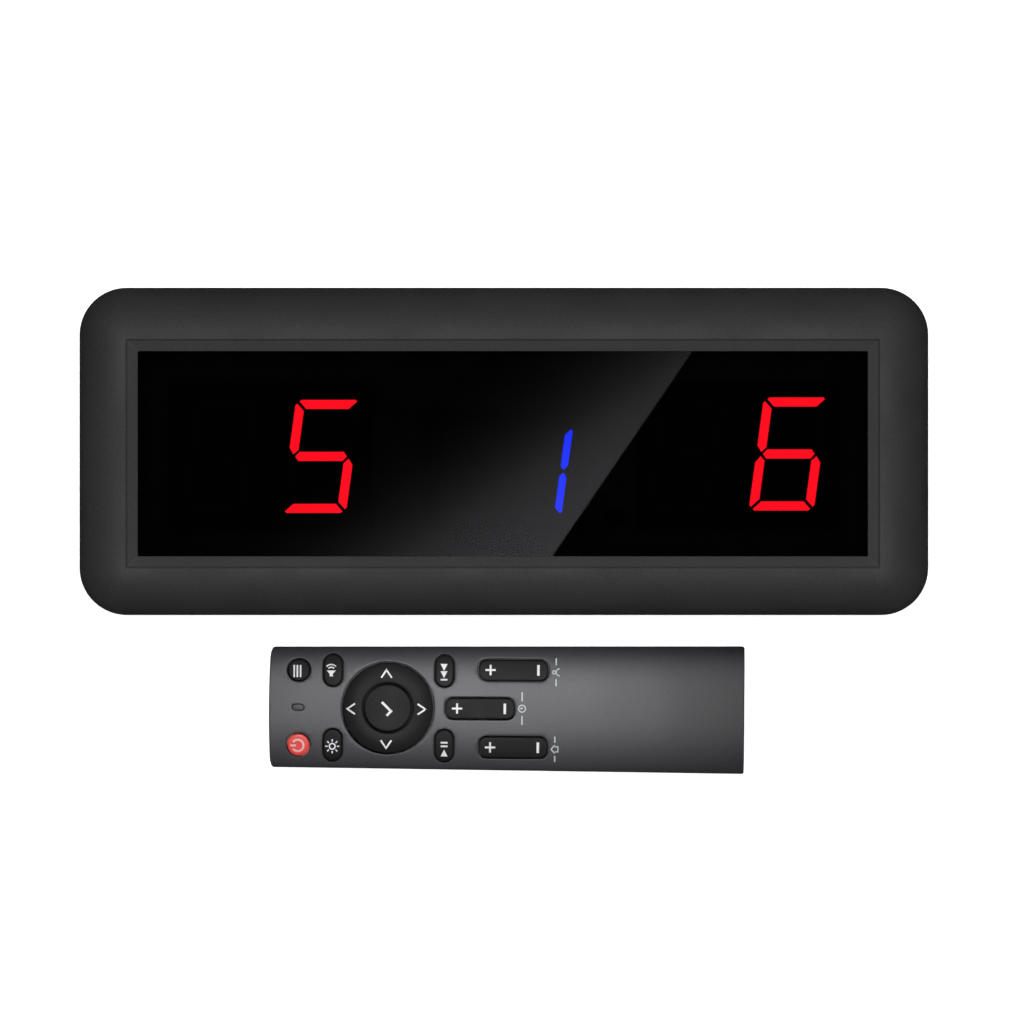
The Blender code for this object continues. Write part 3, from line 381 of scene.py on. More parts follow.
def to_triangles(piece):
    """Splits the piece's faces into triangles, which a cut leaves cleaner."""
    modify(piece, "TRIANGULATE", min_vertices=4)
    settle(piece)


def soften(piece, width, segments=2):
    """Rounds the piece's hard edges a little, shaded as its large faces need."""
    limits = {"limit_method": "ANGLE", "angle_limit": BEVEL_ANGLE, "miter_outer": "MITER_ARC"}
    modify(piece, "BEVEL", width=width, segments=segments, **limits)
    piece.data.shade_smooth()
    modify(piece, "WEIGHTED_NORMAL", mode="FACE_AREA", weight=60, keep_sharp=True)
    settle(piece)


def dress(piece, finish, slot, body, node=None, smooth=True):
    """Gives a piece its finish and body, and hides the CAD node it stands for. The slot is not used."""
    piece.data.materials.clear()
    piece.data.materials.append(finish)
    if smooth:
        piece.data.shade_smooth()
        piece.data.set_sharp_from_angle(angle=SMOOTH_ANGLE)
    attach(piece, body)
    if node:
        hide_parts(node)
    return piece


# ---- finishes
WHITE = (1.0, 1.0, 1.0, 1.0)
NOISE_SPAN = (0.30, 0.70)  # where nearly all of a noise texture's values lie
COAT_ROUGHNESS = 0.25


def new_material(name):
    """A new material, its node tree and its main shader."""
    made = bpy.data.materials.new(name)
    made.use_nodes = True
    return made, made.node_tree, made.node_tree.nodes["Principled BSDF"]


def feed(tree, node, inputs):
    """Joins a node's inputs to other nodes' outputs, or sets them to values."""
    for name, value in inputs.items():
        if isinstance(value, bpy.types.NodeSocket):
            tree.links.new(value, node.inputs[name])
        else:
            node.inputs[name].default_value = value


def add_node(tree, kind, inputs, **settings):
    """The outputs of a new node with its settings and inputs."""
    node = set_up(tree.nodes.new(f"ShaderNode{kind}"), **settings)
    feed(tree, node, inputs)
    return node.outputs


def noise(tree, scale, detail=2.0, roughness=0.5):
    """A noise texture in the piece's own coordinates; scale is in features per metre."""
    place = add_node(tree, "TexCoord", {})["Object"]
    inputs = {"Vector": place, "Scale": scale, "Detail": detail, "Roughness": roughness}
    return add_node(tree, "TexNoise", inputs)["Fac"]


def remap(tree, value, low, high, to_low, to_high):
    """A value moved from one range to another, with smooth ends."""
    inputs = {"Value": value, "From Min": low, "From Max": high, "To Min": to_low, "To Max": to_high}
    return add_node(tree, "MapRange", inputs, interpolation_type="SMOOTHSTEP")["Result"]


def about(tree, value, middle, spread):
    """A noise value moved to lie about a middle."""
    return remap(tree, value, *NOISE_SPAN, middle - spread, middle + spread)


def math_node(tree, operation, first, second):
    """One arithmetic node on a value and a value or number."""
    return add_node(tree, "Math", {0: first, 1: second}, operation=operation)["Value"]


def scaled(tree, colour, share):
    """A colour times a value."""
    return add_node(tree, "VectorMath", {0: colour, "Scale": share}, operation="SCALE")["Vector"]


FINE_BUMP = (2600, 0.03 * MM, 0.25)  # scale, depth and strength


def textured(
    name, colour, roughness, grain, metallic=0.0, specular=0.5, mottle=(60, 0.08), bump=FINE_BUMP,
    spread=0.05, coat=0.0,
):
    """A finish with fine grain, slow mottling and a bump from the grain."""
    made, tree, shader = new_material(name)
    fine = noise(tree, grain[0], 2.0, 0.6)
    slow = noise(tree, mottle[0], 3.0, 0.5)
    share = math_node(tree, "MULTIPLY", about(tree, fine, 1, grain[1]), about(tree, slow, 1, mottle[1]))
    feed(tree, shader, {
        "Base Color": scaled(tree, colour, share),
        "Roughness": about(tree, slow, roughness, spread),
        "Metallic": metallic,
        "Specular IOR Level": specular,
    })
    if coat:
        feed(tree, shader, {"Coat Weight": coat, "Coat Roughness": COAT_ROUGHNESS})
    if bump:
        scale, distance, strength = bump
        inputs = {"Height": noise(tree, scale, 3.0, 0.55), "Distance": distance, "Strength": strength}
        feed(tree, shader, {"Normal": add_node(tree, "Bump", inputs)["Normal"]})
    return made


def lit(name, colour):
    """A glowing bar of a display, a touch uneven as light leaves it."""
    made, tree, shader = new_material(name)
    share = remap(tree, noise(tree, 260), *NOISE_SPAN, 0.95, 1.0)
    feed(tree, shader, {
        "Base Color": (*colour, 1.0),
        "Roughness": 0.6,
        "Specular IOR Level": 0.0,
        "Emission Color": scaled(tree, colour, share),
        "Emission Strength": 1 / THROUGH_WINDOW,
    })
    return made


def smoked_acrylic():
    """The window: near black, polished, and half see-through."""
    made, tree, shader = new_material("window_tint")
    haze = remap(tree, noise(tree, 35), 0.35, 0.65, 0.008, 0.016)
    black = (0.0012, 0.0012, 0.0014, 1.0)
    feed(tree, shader, {"Base Color": black, "Alpha": WINDOW_ALPHA, "Roughness": haze})
    return made


# What the window holds back, and the share of a bar's light that comes through its two faces.
WINDOW_ALPHA = 0.5
THROUGH_WINDOW = (1 - WINDOW_ALPHA) ** 2

case_plastic = textured(
    "case_plastic", (0.0205, 0.0206, 0.0209), 0.70, (2300, 0.22), specular=0.30, mottle=(45, 0.05)
)
shell_paint = textured(
    "shell_paint", (0.046, 0.046, 0.050), 0.50, (2400, 0.13), metallic=0.20, mottle=(50, 0.02), spread=0.01
)
key_plastic = textured("key_plastic", (0.0066, 0.0066, 0.0072), 0.60, (2000, 0.10), specular=0.18)
red_plastic = textured("red_plastic", (0.84, 0.070, 0.058), 0.46, (2000, 0.06), coat=0.06)
white_ink = textured("white_ink", (0.74, 0.74, 0.76), 0.55, (3000, 0.08), bump=None)
pink_ink = textured("pink_ink", (0.84, 0.50, 0.50), 0.55, (3000, 0.08), bump=None)
label_ink = textured("label_ink", (0.46, 0.50, 0.52), 0.55, (3000, 0.12), bump=None)
foam = textured("foam", (0.010, 0.010, 0.010), 0.95, (1800, 0.4), specular=0.1)
solder_mask = textured("solder_mask", (0.0042, 0.0042, 0.0045), 0.60, (900, 0.3), specular=0.05)
digit_face = textured("digit_face", (0.0030, 0.0030, 0.0032), 0.80, (1500, 0.2), specular=0.02)
bar_off = textured("bar_off", (0.0060, 0.0055, 0.0055), 0.80, (1500, 0.2), specular=0.02, bump=None)
component_black = textured("component_black", (0.020, 0.020, 0.021), 0.50, (2500, 0.15))
steel_bump = (2500, 0.01 * MM, 0.2)
steel = textured("steel", (0.52, 0.52, 0.54), 0.32, (1600, 0.10), metallic=1.0, bump=steel_bump)
nickel = textured("nickel", (0.62, 0.59, 0.53), 0.25, (1400, 0.08), metallic=1.0, bump=None)
green_mask = textured("green_mask", (0.012, 0.075, 0.026), 0.40, (700, 0.25), mottle=(180, 0.20))
silicone = textured("silicone", (0.14, 0.14, 0.145), 0.75, (1500, 0.10))
clear_resin = textured("clear_resin", (0.056, 0.056, 0.060), 0.50, (900, 0.08), specular=0.30, bump=None)
smoke = textured("smoke", (0.012, 0.004, 0.007), 0.12, (900, 0.10), bump=None, spread=0.02)
jacket = textured("jacket", (0.050, 0.062, 0.085), 0.30, (1200, 0.10), metallic=0.3, bump=None)
lead = textured("lead", (0.012, 0.012, 0.012), 0.45, (1500, 0.15))
red_light = lit("red_light", (0.973, 0.0048, 0.0137))
blue_light = lit("blue_light", (0.0001, 0.020, 0.991))
window_tint = smoked_acrylic()


# ---- the case
def case_ring(inset, z, drawn=0.0):
    """The case's outline, moved in, at one height, and drawn 0 to 1 to the opening."""
    width = CASE_WIDTH - 2 * inset - drawn * OPENING_TRIM[0]
    height = CASE_HEIGHT - 2 * inset - drawn * OPENING_TRIM[1]
    centre = (drawn * OPENING_SHIFT[0], drawn * OPENING_SHIFT[1])
    return at_height(rounded_rectangle(width, height, CASE_CORNER - inset, CORNER_STEPS, centre), z)


def make_front():
    """The crowned front frame, its stepped rim, and the pocket behind it."""
    low_z = PARTING_Z + GAP
    crown = quarter_ellipse(0.0, CROWN_START_Z, CROWN_RUN, CASE_DEPTH - CROWN_START_Z, 28)
    inside = quarter_ellipse(
        CASE_WALL, CROWN_START_Z, POCKET_BACK - CASE_WALL, CASE_DEPTH - CASE_WALL - CROWN_START_Z, 8
    )
    front = [(0.15 * MM, low_z), (0.0, low_z + 0.15 * MM), *crown, *RIM, (OPENING_INSET, LIP_Z)]
    back = [(POCKET_INSET, LIP_Z), (POCKET_INSET, POCKET_Z), (POCKET_BACK, POCKET_Z)]
    back += [*reversed(inside), (CASE_WALL, TONGUE_TOP_Z + GAP)]
    back += [(1.0 * MM, TONGUE_TOP_Z + GAP), (1.0 * MM, low_z)]
    rings = [case_ring(inset, z, min(inset / CROWN_RUN, 1.0)) for inset, z in front]
    rings += [case_ring(inset, z) for inset, z in back]
    dress(loft("case_front", rings, closed=True), case_plastic, "case", "timer", "front_bezel")


def make_back():
    """The back tray: screw wells, keyholes, sound slots and inlet hole."""
    section = foot_round(BACK_ROUND, 10)
    section += [(0.0, PARTING_Z - 0.15 * MM), (0.15 * MM, PARTING_Z), (TONGUE_INSET, PARTING_Z)]
    section += [(TONGUE_INSET, TONGUE_TOP_Z), (CASE_WALL, TONGUE_TOP_Z)]
    section += [(CASE_WALL, CASE_WALL + 1.5 * MM), (CASE_WALL + 1.5 * MM, CASE_WALL)]
    shell = loft("case_back", [case_ring(inset, z) for inset, z in section])
    added = []
    cut = []
    for x in (-SCREW_X, 0.0, SCREW_X):
        for y in (-SCREW_Y, SCREW_Y):
            added.append(prism(circle(POST_RADIUS, 40, (x, y)), CASE_WALL / 2, PARTING_Z))
            cut.append(prism(circle(WELL_RADIUS, 36, (x, y)), -GAP, SCREW_SEAT_Z))
            cut.append(prism(circle(BORE_RADIUS, 24, (x, y)), SCREW_SEAT_Z - GAP, PARTING_Z + GAP))
    for side in (-1, 1):
        x = side * KEYHOLE["x"]
        y = KEYHOLE["y"]
        slot = KEYHOLE["slot"]
        middle = (x, y + KEYHOLE["rise"] / 2)
        cut.append(prism(circle(KEYHOLE["radius"], 48, (x, y)), -GAP, CASE_WALL + GAP))
        outline = rounded_rectangle(2 * slot, KEYHOLE["rise"] + 2 * slot, slot, 12, middle)
        cut.append(prism(outline, -GAP, CASE_WALL + GAP))
    for index in range(GRILLE["count"]):
        x = GRILLE["x"] + (index - (GRILLE["count"] - 1) / 2) * GRILLE["pitch"]
        outline = rounded_rectangle(*GRILLE["slot"], 1.0 * MM, 8, (x, GRILLE["y"]))
        cut.append(prism(outline, -GAP, CASE_WALL + GAP))
    inlet = {"location": (CASE_WIDTH / 2 - 2 * CASE_WALL, JACK_Y, JACK_Z), "rotation": LYING}
    cut.append(prism(circle(INLET_RADIUS, 48), CASE_WALL - GAP, 3 * CASE_WALL, **inlet))
    for low_y, high_y in CRADLE_WALLS:
        low = (SOCKET_BACK_X - CRADLE_RUN, low_y, CASE_WALL / 2)
        added.append(block(low, (SOCKET_BACK_X - GAP, high_y, CRADLE_TOP_Z)))
    combine(shell, "UNION", added)
    combine(shell, "DIFFERENCE", cut)
    soften(shell, 0.20 * MM)
    dress(shell, case_plastic, "case", "timer", "rear_shell", smooth=False)


def make_window():
    """The smoked sheet with softened edges."""
    inset = POCKET_INSET + GAP
    section = [
        (inset + 0.2 * MM, WINDOW_LOW_Z), (inset, WINDOW_LOW_Z + 0.2 * MM),
        (inset, WINDOW_TOP_Z - 0.2 * MM), (inset + 0.2 * MM, WINDOW_TOP_Z),
    ]
    made = loft("window_sheet", [case_ring(*point) for point in section])
    return dress(made, window_tint, "window", "timer", "display_window")


# ---- the display
def segment_outlines(size, stroke, split):
    """A figure's seven bars, clockwise from the top, then the middle one."""
    right = size[0] / 2
    top = size[1] / 2
    half = stroke / 2
    mitre = split / sqrt(2)
    bar_right = [
        (right - mitre - TIP_CUT, top),
        (right - mitre - TIP_CUT / 2, top - TIP_CUT / 2),
        (right - stroke - mitre, top - stroke),
    ]
    bar = bar_right + stretched(reversed(bar_right), -1, 1)
    upright = [
        (right - TIP_CUT / 2, top - mitre - TIP_CUT / 2),
        (right, top - mitre - TIP_CUT), (right, half + 2 * mitre), (right - half, mitre),
        (right - stroke, half + mitre), (right - stroke, top - stroke - mitre),
    ]
    inside = right - stroke - mitre / 2
    middle_right = [(inside, half), (right - half - mitre, 0.0), (inside, -half)]
    middle = middle_right + stretched(middle_right, -1, -1)
    lower = stretched(upright, 1, -1)
    left = [stretched(lower, -1, 1), stretched(upright, -1, 1)]
    return [bar, upright, lower, stretched(bar, 1, -1), *left, middle]


def shrunk(outline, by):
    """A convex outline moved in by a distance."""
    area = sum(x0 * y1 - x1 * y0 for (x0, y0), (x1, y1) in zip(outline, outline[1:] + outline[:1]))
    way = 1 if area > 0 else -1
    turns = ways(outline)
    moved = []
    for here, into, out in zip(outline, turns[-1:] + turns[:-1], turns):
        normals = [Vector((-turn.y, turn.x)) * way for turn in (into, out)]
        bisector = (normals[0] + normals[1]).normalized()
        moved.append(tuple(Vector(here) + bisector * (by / max(bisector.dot(normals[0]), 0.4))))
    return moved


def make_bars():
    """The diffusing bars in each digit's pockets, lit and unlit."""
    for node, shown in SEGMENTS_ON.items():
        low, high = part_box(node)
        figure = RED_FIGURE if high.x - low.x > RED_LEAST_WIDTH else BLUE_FIGURE
        light = red_light if figure is RED_FIGURE else blue_light
        centre = centre_of(node)
        outlines = segment_outlines(**figure)
        for state, finish in (("lit", light), ("unlit", bar_off)):
            chosen = [o for key, o in zip(SEGMENT_ORDER, outlines) if (key in shown) == (state == "lit")]
            if not chosen:
                continue
            shape = bmesh.new()
            for outline in chosen:
                rings = []
                for inset, z in BAR_EDGE:
                    slanted = [(x + y * tan(DIGIT_SLANT), y) for x, y in shrunk(outline, inset)]
                    rings.append(at_height(slanted, z))
                add_loft(shape, rings)
            name = node.replace("digit_", "bars_") + f"_{state}"
            made = to_object(name, shape, (centre.x, centre.y, DIGIT_TOP_Z))
            dress(made, finish, "digit_block", "timer")


# ---- screws and inlet
SCREW_PROFILE = mm(
    (0.9, -2.0), (1.5, -1.94), (2.1, -1.72), (2.5, -1.35), (2.7, -0.85), (2.7, -0.1), (2.6, 0.0),
    (1.5, 0.0), (1.5, 12.5), (0.6, 14.0),
)
CROSS_ARM = mm((1.5, -0.31), (1.5, 0.31), (0.31, 0.31))
CROSS_TAPER = 0.45
CROSS_Z = (-2.1 * MM, -0.9 * MM)
COLLAR = mm((3.8, -4.0), (3.8, -0.25), (3.55, 0.0))
SOCKET_BORE = mm((2.8, -9.5), (2.8, -0.25), (3.1, 0.3))
SOCKET_PIN = mm((1.05, -9.6), (1.05, -1.9), (0.9, -1.4), (0.45, -1.05))


def make_case_screws():
    """Pan-head screws with a cross recess, at the bottom of their wells."""
    cross = []
    for x, y in ((1, 0), (0, 1), (-1, 0), (0, -1)):
        cross.extend((px * x - py * y, px * y + py * x) for px, py in CROSS_ARM)
    tip = stretched(cross, CROSS_TAPER, CROSS_TAPER)
    for index in range(1, SCREW_COUNT + 1):
        centre = centre_of(f"case_screw_{index}")
        place = (centre.x, centre.y, SCREW_SEAT_Z - GAP)
        screw = turned(f"screw_{index}", SCREW_PROFILE, 32, location=place)
        recess = [at_height(outline, z) for outline, z in zip((cross, tip), CROSS_Z)]
        combine(screw, "DIFFERENCE", [loft("recess", recess, location=place)])
        dress(screw, steel, "metal", "timer", f"case_screw_{index}")


def make_jack():
    """The barrel socket's block, its round mouth in the side wall, and its pin."""
    low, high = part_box("dc_jack")
    lying = {"location": (high.x, JACK_Y, JACK_Z), "rotation": LYING}
    jack = block(tuple(low), (SOCKET_BACK_X, high.y, high.z), name="socket")
    combine(jack, "UNION", [turned("collar", COLLAR, **lying)])
    combine(jack, "DIFFERENCE", [turned("bore", SOCKET_BORE, **lying)])
    dress(jack, component_black, "component", "timer", "dc_jack")
    dress(turned("socket_pin", SOCKET_PIN, 24, **lying), nickel, "metal", "timer")


# ---- remote shells
def remote_half(x):
    """Half the handset's width at x along it."""
    share = 0.5 + x / REMOTE_LENGTH
    return REMOTE_NOSE_HALF + (REMOTE_TAIL_HALF - REMOTE_NOSE_HALF) * share


def remote_crown(x, y):
    """Height of the handset's crowned face."""
    share = min(abs(y) / remote_half(x), 1.0)
    rise = REMOTE_HEIGHT - REMOTE_EDGE_Z
    return REMOTE_EDGE_Z + rise * (1 - share**REMOTE_CROWN_POWER) ** (1 / REMOTE_CROWN_POWER)


def remote_section(x, inset, low, steps):
    """Points round the handset's upper half at x."""
    half = remote_half(x) - inset
    rise = REMOTE_HEIGHT - inset - REMOTE_EDGE_Z
    points = [(x, half, low)]
    for step in range(steps + 1):
        angle = pi * step / steps
        across = abs(cos(angle)) ** (2 / REMOTE_CROWN_POWER)
        up = max(sin(angle), 0.0) ** (2 / REMOTE_CROWN_POWER)
        points.append((x, half * copysign(across, cos(angle)), REMOTE_EDGE_Z + rise * up))
    points.append((x, -half, low))
    return points


def remote_outline(inset=0.0, side_steps=1):
    """The handset's plan: a square tail at +X and a bowed nose at -X."""
    tail = REMOTE_LENGTH / 2 - inset
    tail_radius = max(REMOTE_TAIL_CORNER - inset, 0.4 * MM)
    tail_side = remote_half(tail) - inset - tail_radius
    nose_run, nose_rise = (max(run - inset, 0.8 * MM) for run in REMOTE_NOSE_CORNER)
    nose = -REMOTE_LENGTH / 2 + inset
    straight = remote_half(nose + nose_run) - inset - nose_rise
    points = [(tail, tail_side * share) for share in (0.25, 0.5, 0.75)]
    for angle in quarter_turns(4):
        points.append((tail - tail_radius * (1 - cos(angle)), tail_side + tail_radius * sin(angle)))
    tail_end = points[-1]
    nose_start = (nose + REMOTE_BOW + nose_run, straight + nose_rise)
    points += [between(tail_end, nose_start, step / side_steps) for step in range(1, side_steps)]
    for angle in quarter_turns(12):
        x = nose + REMOTE_BOW + nose_run * (1 - sin(angle))
        points.append((x, straight + nose_rise * cos(angle)))
    for share in (0.8, 0.6, 0.4, 0.2, 0.05):
        points.append((nose + REMOTE_BOW * share**2, straight * share))
    return points + stretched(reversed(points), 1, -1)


PUSH_KEYS = ("menu_key", "power_key", "sound_key", "light_key", "reset_key", "stop_key")
ROCKERS = ("guest_rocker", "period_rocker", "home_rocker")
ROCKER_SIZE = (23.6 * MM, 7.6 * MM)
ROCKER_CORNER = 3.0 * MM
ROUND_KEY = (7.9 * MM, 7.9 * MM)
TALL_KEY = (6.8 * MM, 11.2 * MM)
INDICATOR = (3.4 * MM, 1.6 * MM)
IR_WINDOW = mm((-78.5, -7.0, 6.5), (-77.2, 7.0, 12.0))
COARSE_TURNS = (0.0, 0.5, 1.0)
FINE_TURNS = (0.0, 0.4, 0.8, 1.2)
NAV_LIP = 0.3 * MM
INDICATOR_LIP = 0.15 * MM
SHELL_EDGE = 0.35 * MM
SHELL_SIDE_STEPS = 30
TOP_STEPS = 84
END_FADE = (1.6 * MM, 1.2 * MM)  # where the edge's rounding fades towards an end, and over what run
END_RISE = 1.2 * MM


def middle_of(node):
    """A node's middle in the handset's frame."""
    centre = centre_of(node) - REMOTE_AT
    turned_back = Vector((centre.x, centre.y))
    turned_back.rotate(Matrix.Rotation(-REMOTE_TURN, 2))
    return tuple(turned_back)


def hole_of(node):
    """A key hole's size and corner radius."""
    if node in ROCKERS:
        return ROCKER_SIZE, ROCKER_CORNER
    size = ROUND_KEY if node in ("menu_key", "power_key") else TALL_KEY
    return size, min(size) / 2


def ir_notch():
    """Cutter for the infrared window in the nose."""
    (_, low_y, low_z), (_, high_y, high_z) = IR_WINDOW
    nose = -REMOTE_LENGTH / 2
    low = (nose - REMOTE_WALL, low_y - GAP, low_z - GAP)
    return remote_block(low, (nose + 2 * REMOTE_WALL, high_y + GAP, high_z + GAP))


def grown_rectangle(size, radius, centre, steps, spacing):
    """A function that gives a rounded rectangle moved out by a distance."""
    return lambda out: rounded_rectangle(
        size[0] + 2 * out, size[1] + 2 * out, radius + out, steps, centre, spacing
    )


def hole_cutter(outline_at, round_edge=0.25 * MM):
    """Cutter for a hole in the crowned face, with a rounded lip."""
    rings = [at_height(outline_at(0.0), 0.0)]
    for out, drop in round_over(round_edge, COARSE_TURNS):
        rings.append([(x, y, remote_crown(x, y) - drop) for x, y in outline_at(out)])
    rings.append([(x, y, z + MM) for x, y, z in rings[-1]])
    rings[-2] = [(x, y, z + 0.01 * MM) for x, y, z in rings[-2]]
    return loft("hole", rings, **AT_REMOTE)


def make_remote_top():
    """The crowned, painted upper shell with softened key holes."""
    low_z = REMOTE_PARTING_Z + GAP
    reach = REMOTE_LENGTH / 2 + 3 * MM
    places = [-reach + 2 * reach * step / TOP_STEPS for step in range(TOP_STEPS + 1)]
    shell = loft("handset_top", [remote_section(x, 0.0, low_z, 56) for x in places], **AT_REMOTE)
    to_triangles(shell)
    plain = remote_outline(0.0, SHELL_SIDE_STEPS)
    rings = [at_height(plain, 0.0)]
    for inset, step_down in round_over(SHELL_EDGE, COARSE_TURNS):
        ring = []
        for (x0, _), (x, y) in zip(plain, remote_outline(inset, SHELL_SIDE_STEPS)):
            ends = min(max((abs(x0) - REMOTE_LENGTH / 2 + END_FADE[0]) / END_FADE[1], 0.0), 1.0)
            drop = step_down * ends - END_RISE * (1 - ends)
            ring.append((x, y, remote_crown(x, y) - drop))
        rings.append(ring)
    rings.append([(x, y, 2 * REMOTE_HEIGHT) for x, y, _ in rings[-1]])
    combine(shell, "INTERSECT", [loft("plan", rings, **AT_REMOTE)])
    inside = REMOTE_LENGTH / 2 - REMOTE_WALL
    hollow = [remote_section(x, REMOTE_WALL, 0.0, 28) for x in (-inside + REMOTE_BOW + 0.8 * MM, inside)]
    cut = [loft("hollow", hollow, **AT_REMOTE)]
    cut.append(prism(remote_outline(REMOTE_GROOVE), 0.0, REMOTE_GROOVE_TOP_Z, **AT_REMOTE))
    for node in (*PUSH_KEYS, *ROCKERS):
        size, radius = hole_of(node)
        cut.append(hole_cutter(grown_rectangle(size, radius, middle_of(node), 14, 12)))
    nav_centre = middle_of("ok_key")
    cut.append(hole_cutter(lambda out: circle(NAV_HOLE + out, 120, nav_centre), NAV_LIP))
    size = [side + 2 * GAP for side in INDICATOR]
    lens_hole = grown_rectangle(size, size[1] / 2, middle_of("indicator_lens"), 8, 4)
    cut += [hole_cutter(lens_hole, INDICATOR_LIP), ir_notch()]
    combine(shell, "DIFFERENCE", cut)
    dress(shell, shell_paint, "remote_shell", "remote", "remote_top_shell")


def make_remote_bottom():
    """The lower shell with its bay, its ribs and the door's opening."""
    lip = REMOTE_WALL + 1 * MM
    section = foot_round(REMOTE_BOTTOM_ROUND, 8)
    section += [(0.0, REMOTE_PARTING_Z), (REMOTE_TONGUE, REMOTE_PARTING_Z)]
    section += [(REMOTE_TONGUE, REMOTE_TONGUE_TOP_Z), (REMOTE_WALL, REMOTE_TONGUE_TOP_Z)]
    section += [(REMOTE_WALL, lip), (lip, REMOTE_WALL)]
    rings = [at_height(remote_outline(inset), z) for inset, z in section]
    shell = loft("handset_bottom", rings, **AT_REMOTE)
    to_triangles(shell)
    spans = [
        (BAY[0] - GAP - BAY_END_WALLS[0], BAY[0] - GAP, REMOTE_WALL / 2, BAY_END_TOP_Z),
        (BAY[1] + GAP, BAY[1] + GAP + BAY_END_WALLS[1], DOOR_LIP_Z + 2 * GAP, BAY_END_TOP_Z),
    ]
    spans += [(x * MM, (x + RIB_WIDTH) * MM, REMOTE_WALL / 2, RIB_TOP_Z) for x in RIB_X]
    ribs = []
    for low_x, high_x, low_z, high_z in spans:
        inside = remote_half(low_x) - REMOTE_WALL / 2
        ribs.append(remote_block((low_x, -inside, low_z), (high_x, inside, high_z)))
    combine(shell, "UNION", ribs)
    tail = REMOTE_LENGTH / 2
    rail_gap = DOOR_RAIL_HALF + GAP
    opening = remote_block(
        (DOOR_LOW_X - GAP, -DOOR_HALF, -GAP), (tail + GAP, DOOR_HALF, DOOR_RAIL_Z - GAP)
    )
    end_notch = remote_block(
        (tail - 2 * REMOTE_WALL, -rail_gap, -GAP), (tail + GAP, rail_gap, DOOR_LIP_Z + GAP)
    )
    combine(shell, "DIFFERENCE", [opening, end_notch, ir_notch()])
    soften(shell, 0.10 * MM)
    dress(shell, shell_paint, "remote_shell", "remote", "remote_bottom_shell", smooth=False)


GRIP_START = 5 * MM
GRIP_PITCH = 2.8 * MM
GRIP_SIZE = (1.2 * MM, 6 * MM, 0.5 * MM)  # width, half length and depth
ARROW_START = 16 * MM
ARROW_SIZE = (4.5 * MM, 3 * MM, 0.35 * MM)  # length, half width and depth


def make_door():
    """The sliding door with its thumb grooves, arrow and rails."""
    tail = REMOTE_LENGTH / 2
    half = DOOR_HALF - GAP
    section = [(DOOR_LOW_X, 0.0)]
    for angle in quarter_turns(8):
        x = tail - REMOTE_BOTTOM_ROUND * (1 - sin(angle))
        section.append((x, REMOTE_BOTTOM_ROUND * (1 - cos(angle))))
    section += [(tail, DOOR_LIP_Z), (tail - 1.2 * MM, DOOR_LIP_Z), (tail - 1.2 * MM, REMOTE_WALL)]
    section += [(DOOR_LOW_X, REMOTE_WALL)]
    door = loft("bay_door", [[(x, y, z) for x, z in section] for y in (-half, half)], **AT_REMOTE)
    rails = []
    for side in (-1, 1):
        for near, far, low_z in (
            (half - 1.2 * MM, half, REMOTE_WALL / 2),
            (half - 0.6 * MM, DOOR_RAIL_HALF, DOOR_RAIL_Z),
        ):
            low_y, high_y = sorted((side * near, side * far))
            low = (DOOR_LOW_X + 2 * MM, low_y, low_z)
            rails.append(remote_block(low, (BAY[1] - 2 * MM, high_y, DOOR_LIP_Z)))
    combine(door, "UNION", rails)
    grips = []
    width, half_length, depth = GRIP_SIZE
    for index in range(3):
        x = DOOR_LOW_X + GRIP_START + GRIP_PITCH * index
        grips.append(remote_block((x, -half_length, -GAP), (x + width, half_length, depth)))
    length, half_width, depth = ARROW_SIZE
    x = DOOR_LOW_X + ARROW_START
    arrow = [(x + length, 0.0), (x, half_width), (x, -half_width)]
    grips.append(prism(arrow, -GAP, depth, **AT_REMOTE))
    combine(door, "DIFFERENCE", grips)
    soften(door, 0.12 * MM)
    dress(door, shell_paint, "remote_shell", "battery_door", "battery_door", smooth=False)


# ---- keys
KEY_EDGE = 0.5 * MM
KEY_FLANGE = 0.6 * MM
KEY_FLANGE_TOP_Z = 12.0 * MM
KEY_FLAT_STEPS = 5


def key_rings(centre, size, radius, low_z, flange):
    """Rings of a key: a flange, a wall, a rounded edge and a crowned top."""
    width, height = (side - 2 * KEY_GAP for side in size)
    steps = {"steps": 12, "spacing": 10, "centre": centre}
    plain = rounded_rectangle(width, height, radius, **steps)
    rings = []
    if flange:
        wide = rounded_rectangle(width + 2 * flange, height + 2 * flange, radius + flange, **steps)
        rings += [at_height(wide, low_z), at_height(wide, KEY_FLANGE_TOP_Z)]
    rings.append(at_height(plain, KEY_FLANGE_TOP_Z if flange else low_z))
    deepest = min(width, height) / 2 - KEY_EDGE
    insets = round_over(KEY_EDGE, FINE_TURNS)
    for step in range(1, KEY_FLAT_STEPS + 1):
        insets.append((KEY_EDGE + (deepest - KEY_EDGE) * step / KEY_FLAT_STEPS, 0.0))
    for inset, drop in insets:
        corner = max(radius - inset, 0.45 * MM)
        outline = rounded_rectangle(width - 2 * inset, height - 2 * inset, corner, **steps)
        rings.append([(x, y, key_height(x, y) - drop) for x, y in outline])
    return rings


def key_height(x, y):
    """Height of a key's crowned top."""
    return remote_crown(x, y) + KEY_PROUD


def make_keys():
    """Six push keys and three rockers."""
    for node in (*PUSH_KEYS, *ROCKERS):
        size, radius = hole_of(node)
        low_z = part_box(node)[0].z
        flange = 0.0 if node in ROCKERS else KEY_FLANGE
        rings = key_rings(middle_of(node), size, radius - KEY_GAP, low_z, flange)
        finish, slot = (red_plastic, "power_key") if node == "power_key" else (key_plastic, "key")
        dress(loft(f"{node}_cap", rings, **AT_REMOTE), finish, slot, node, node)


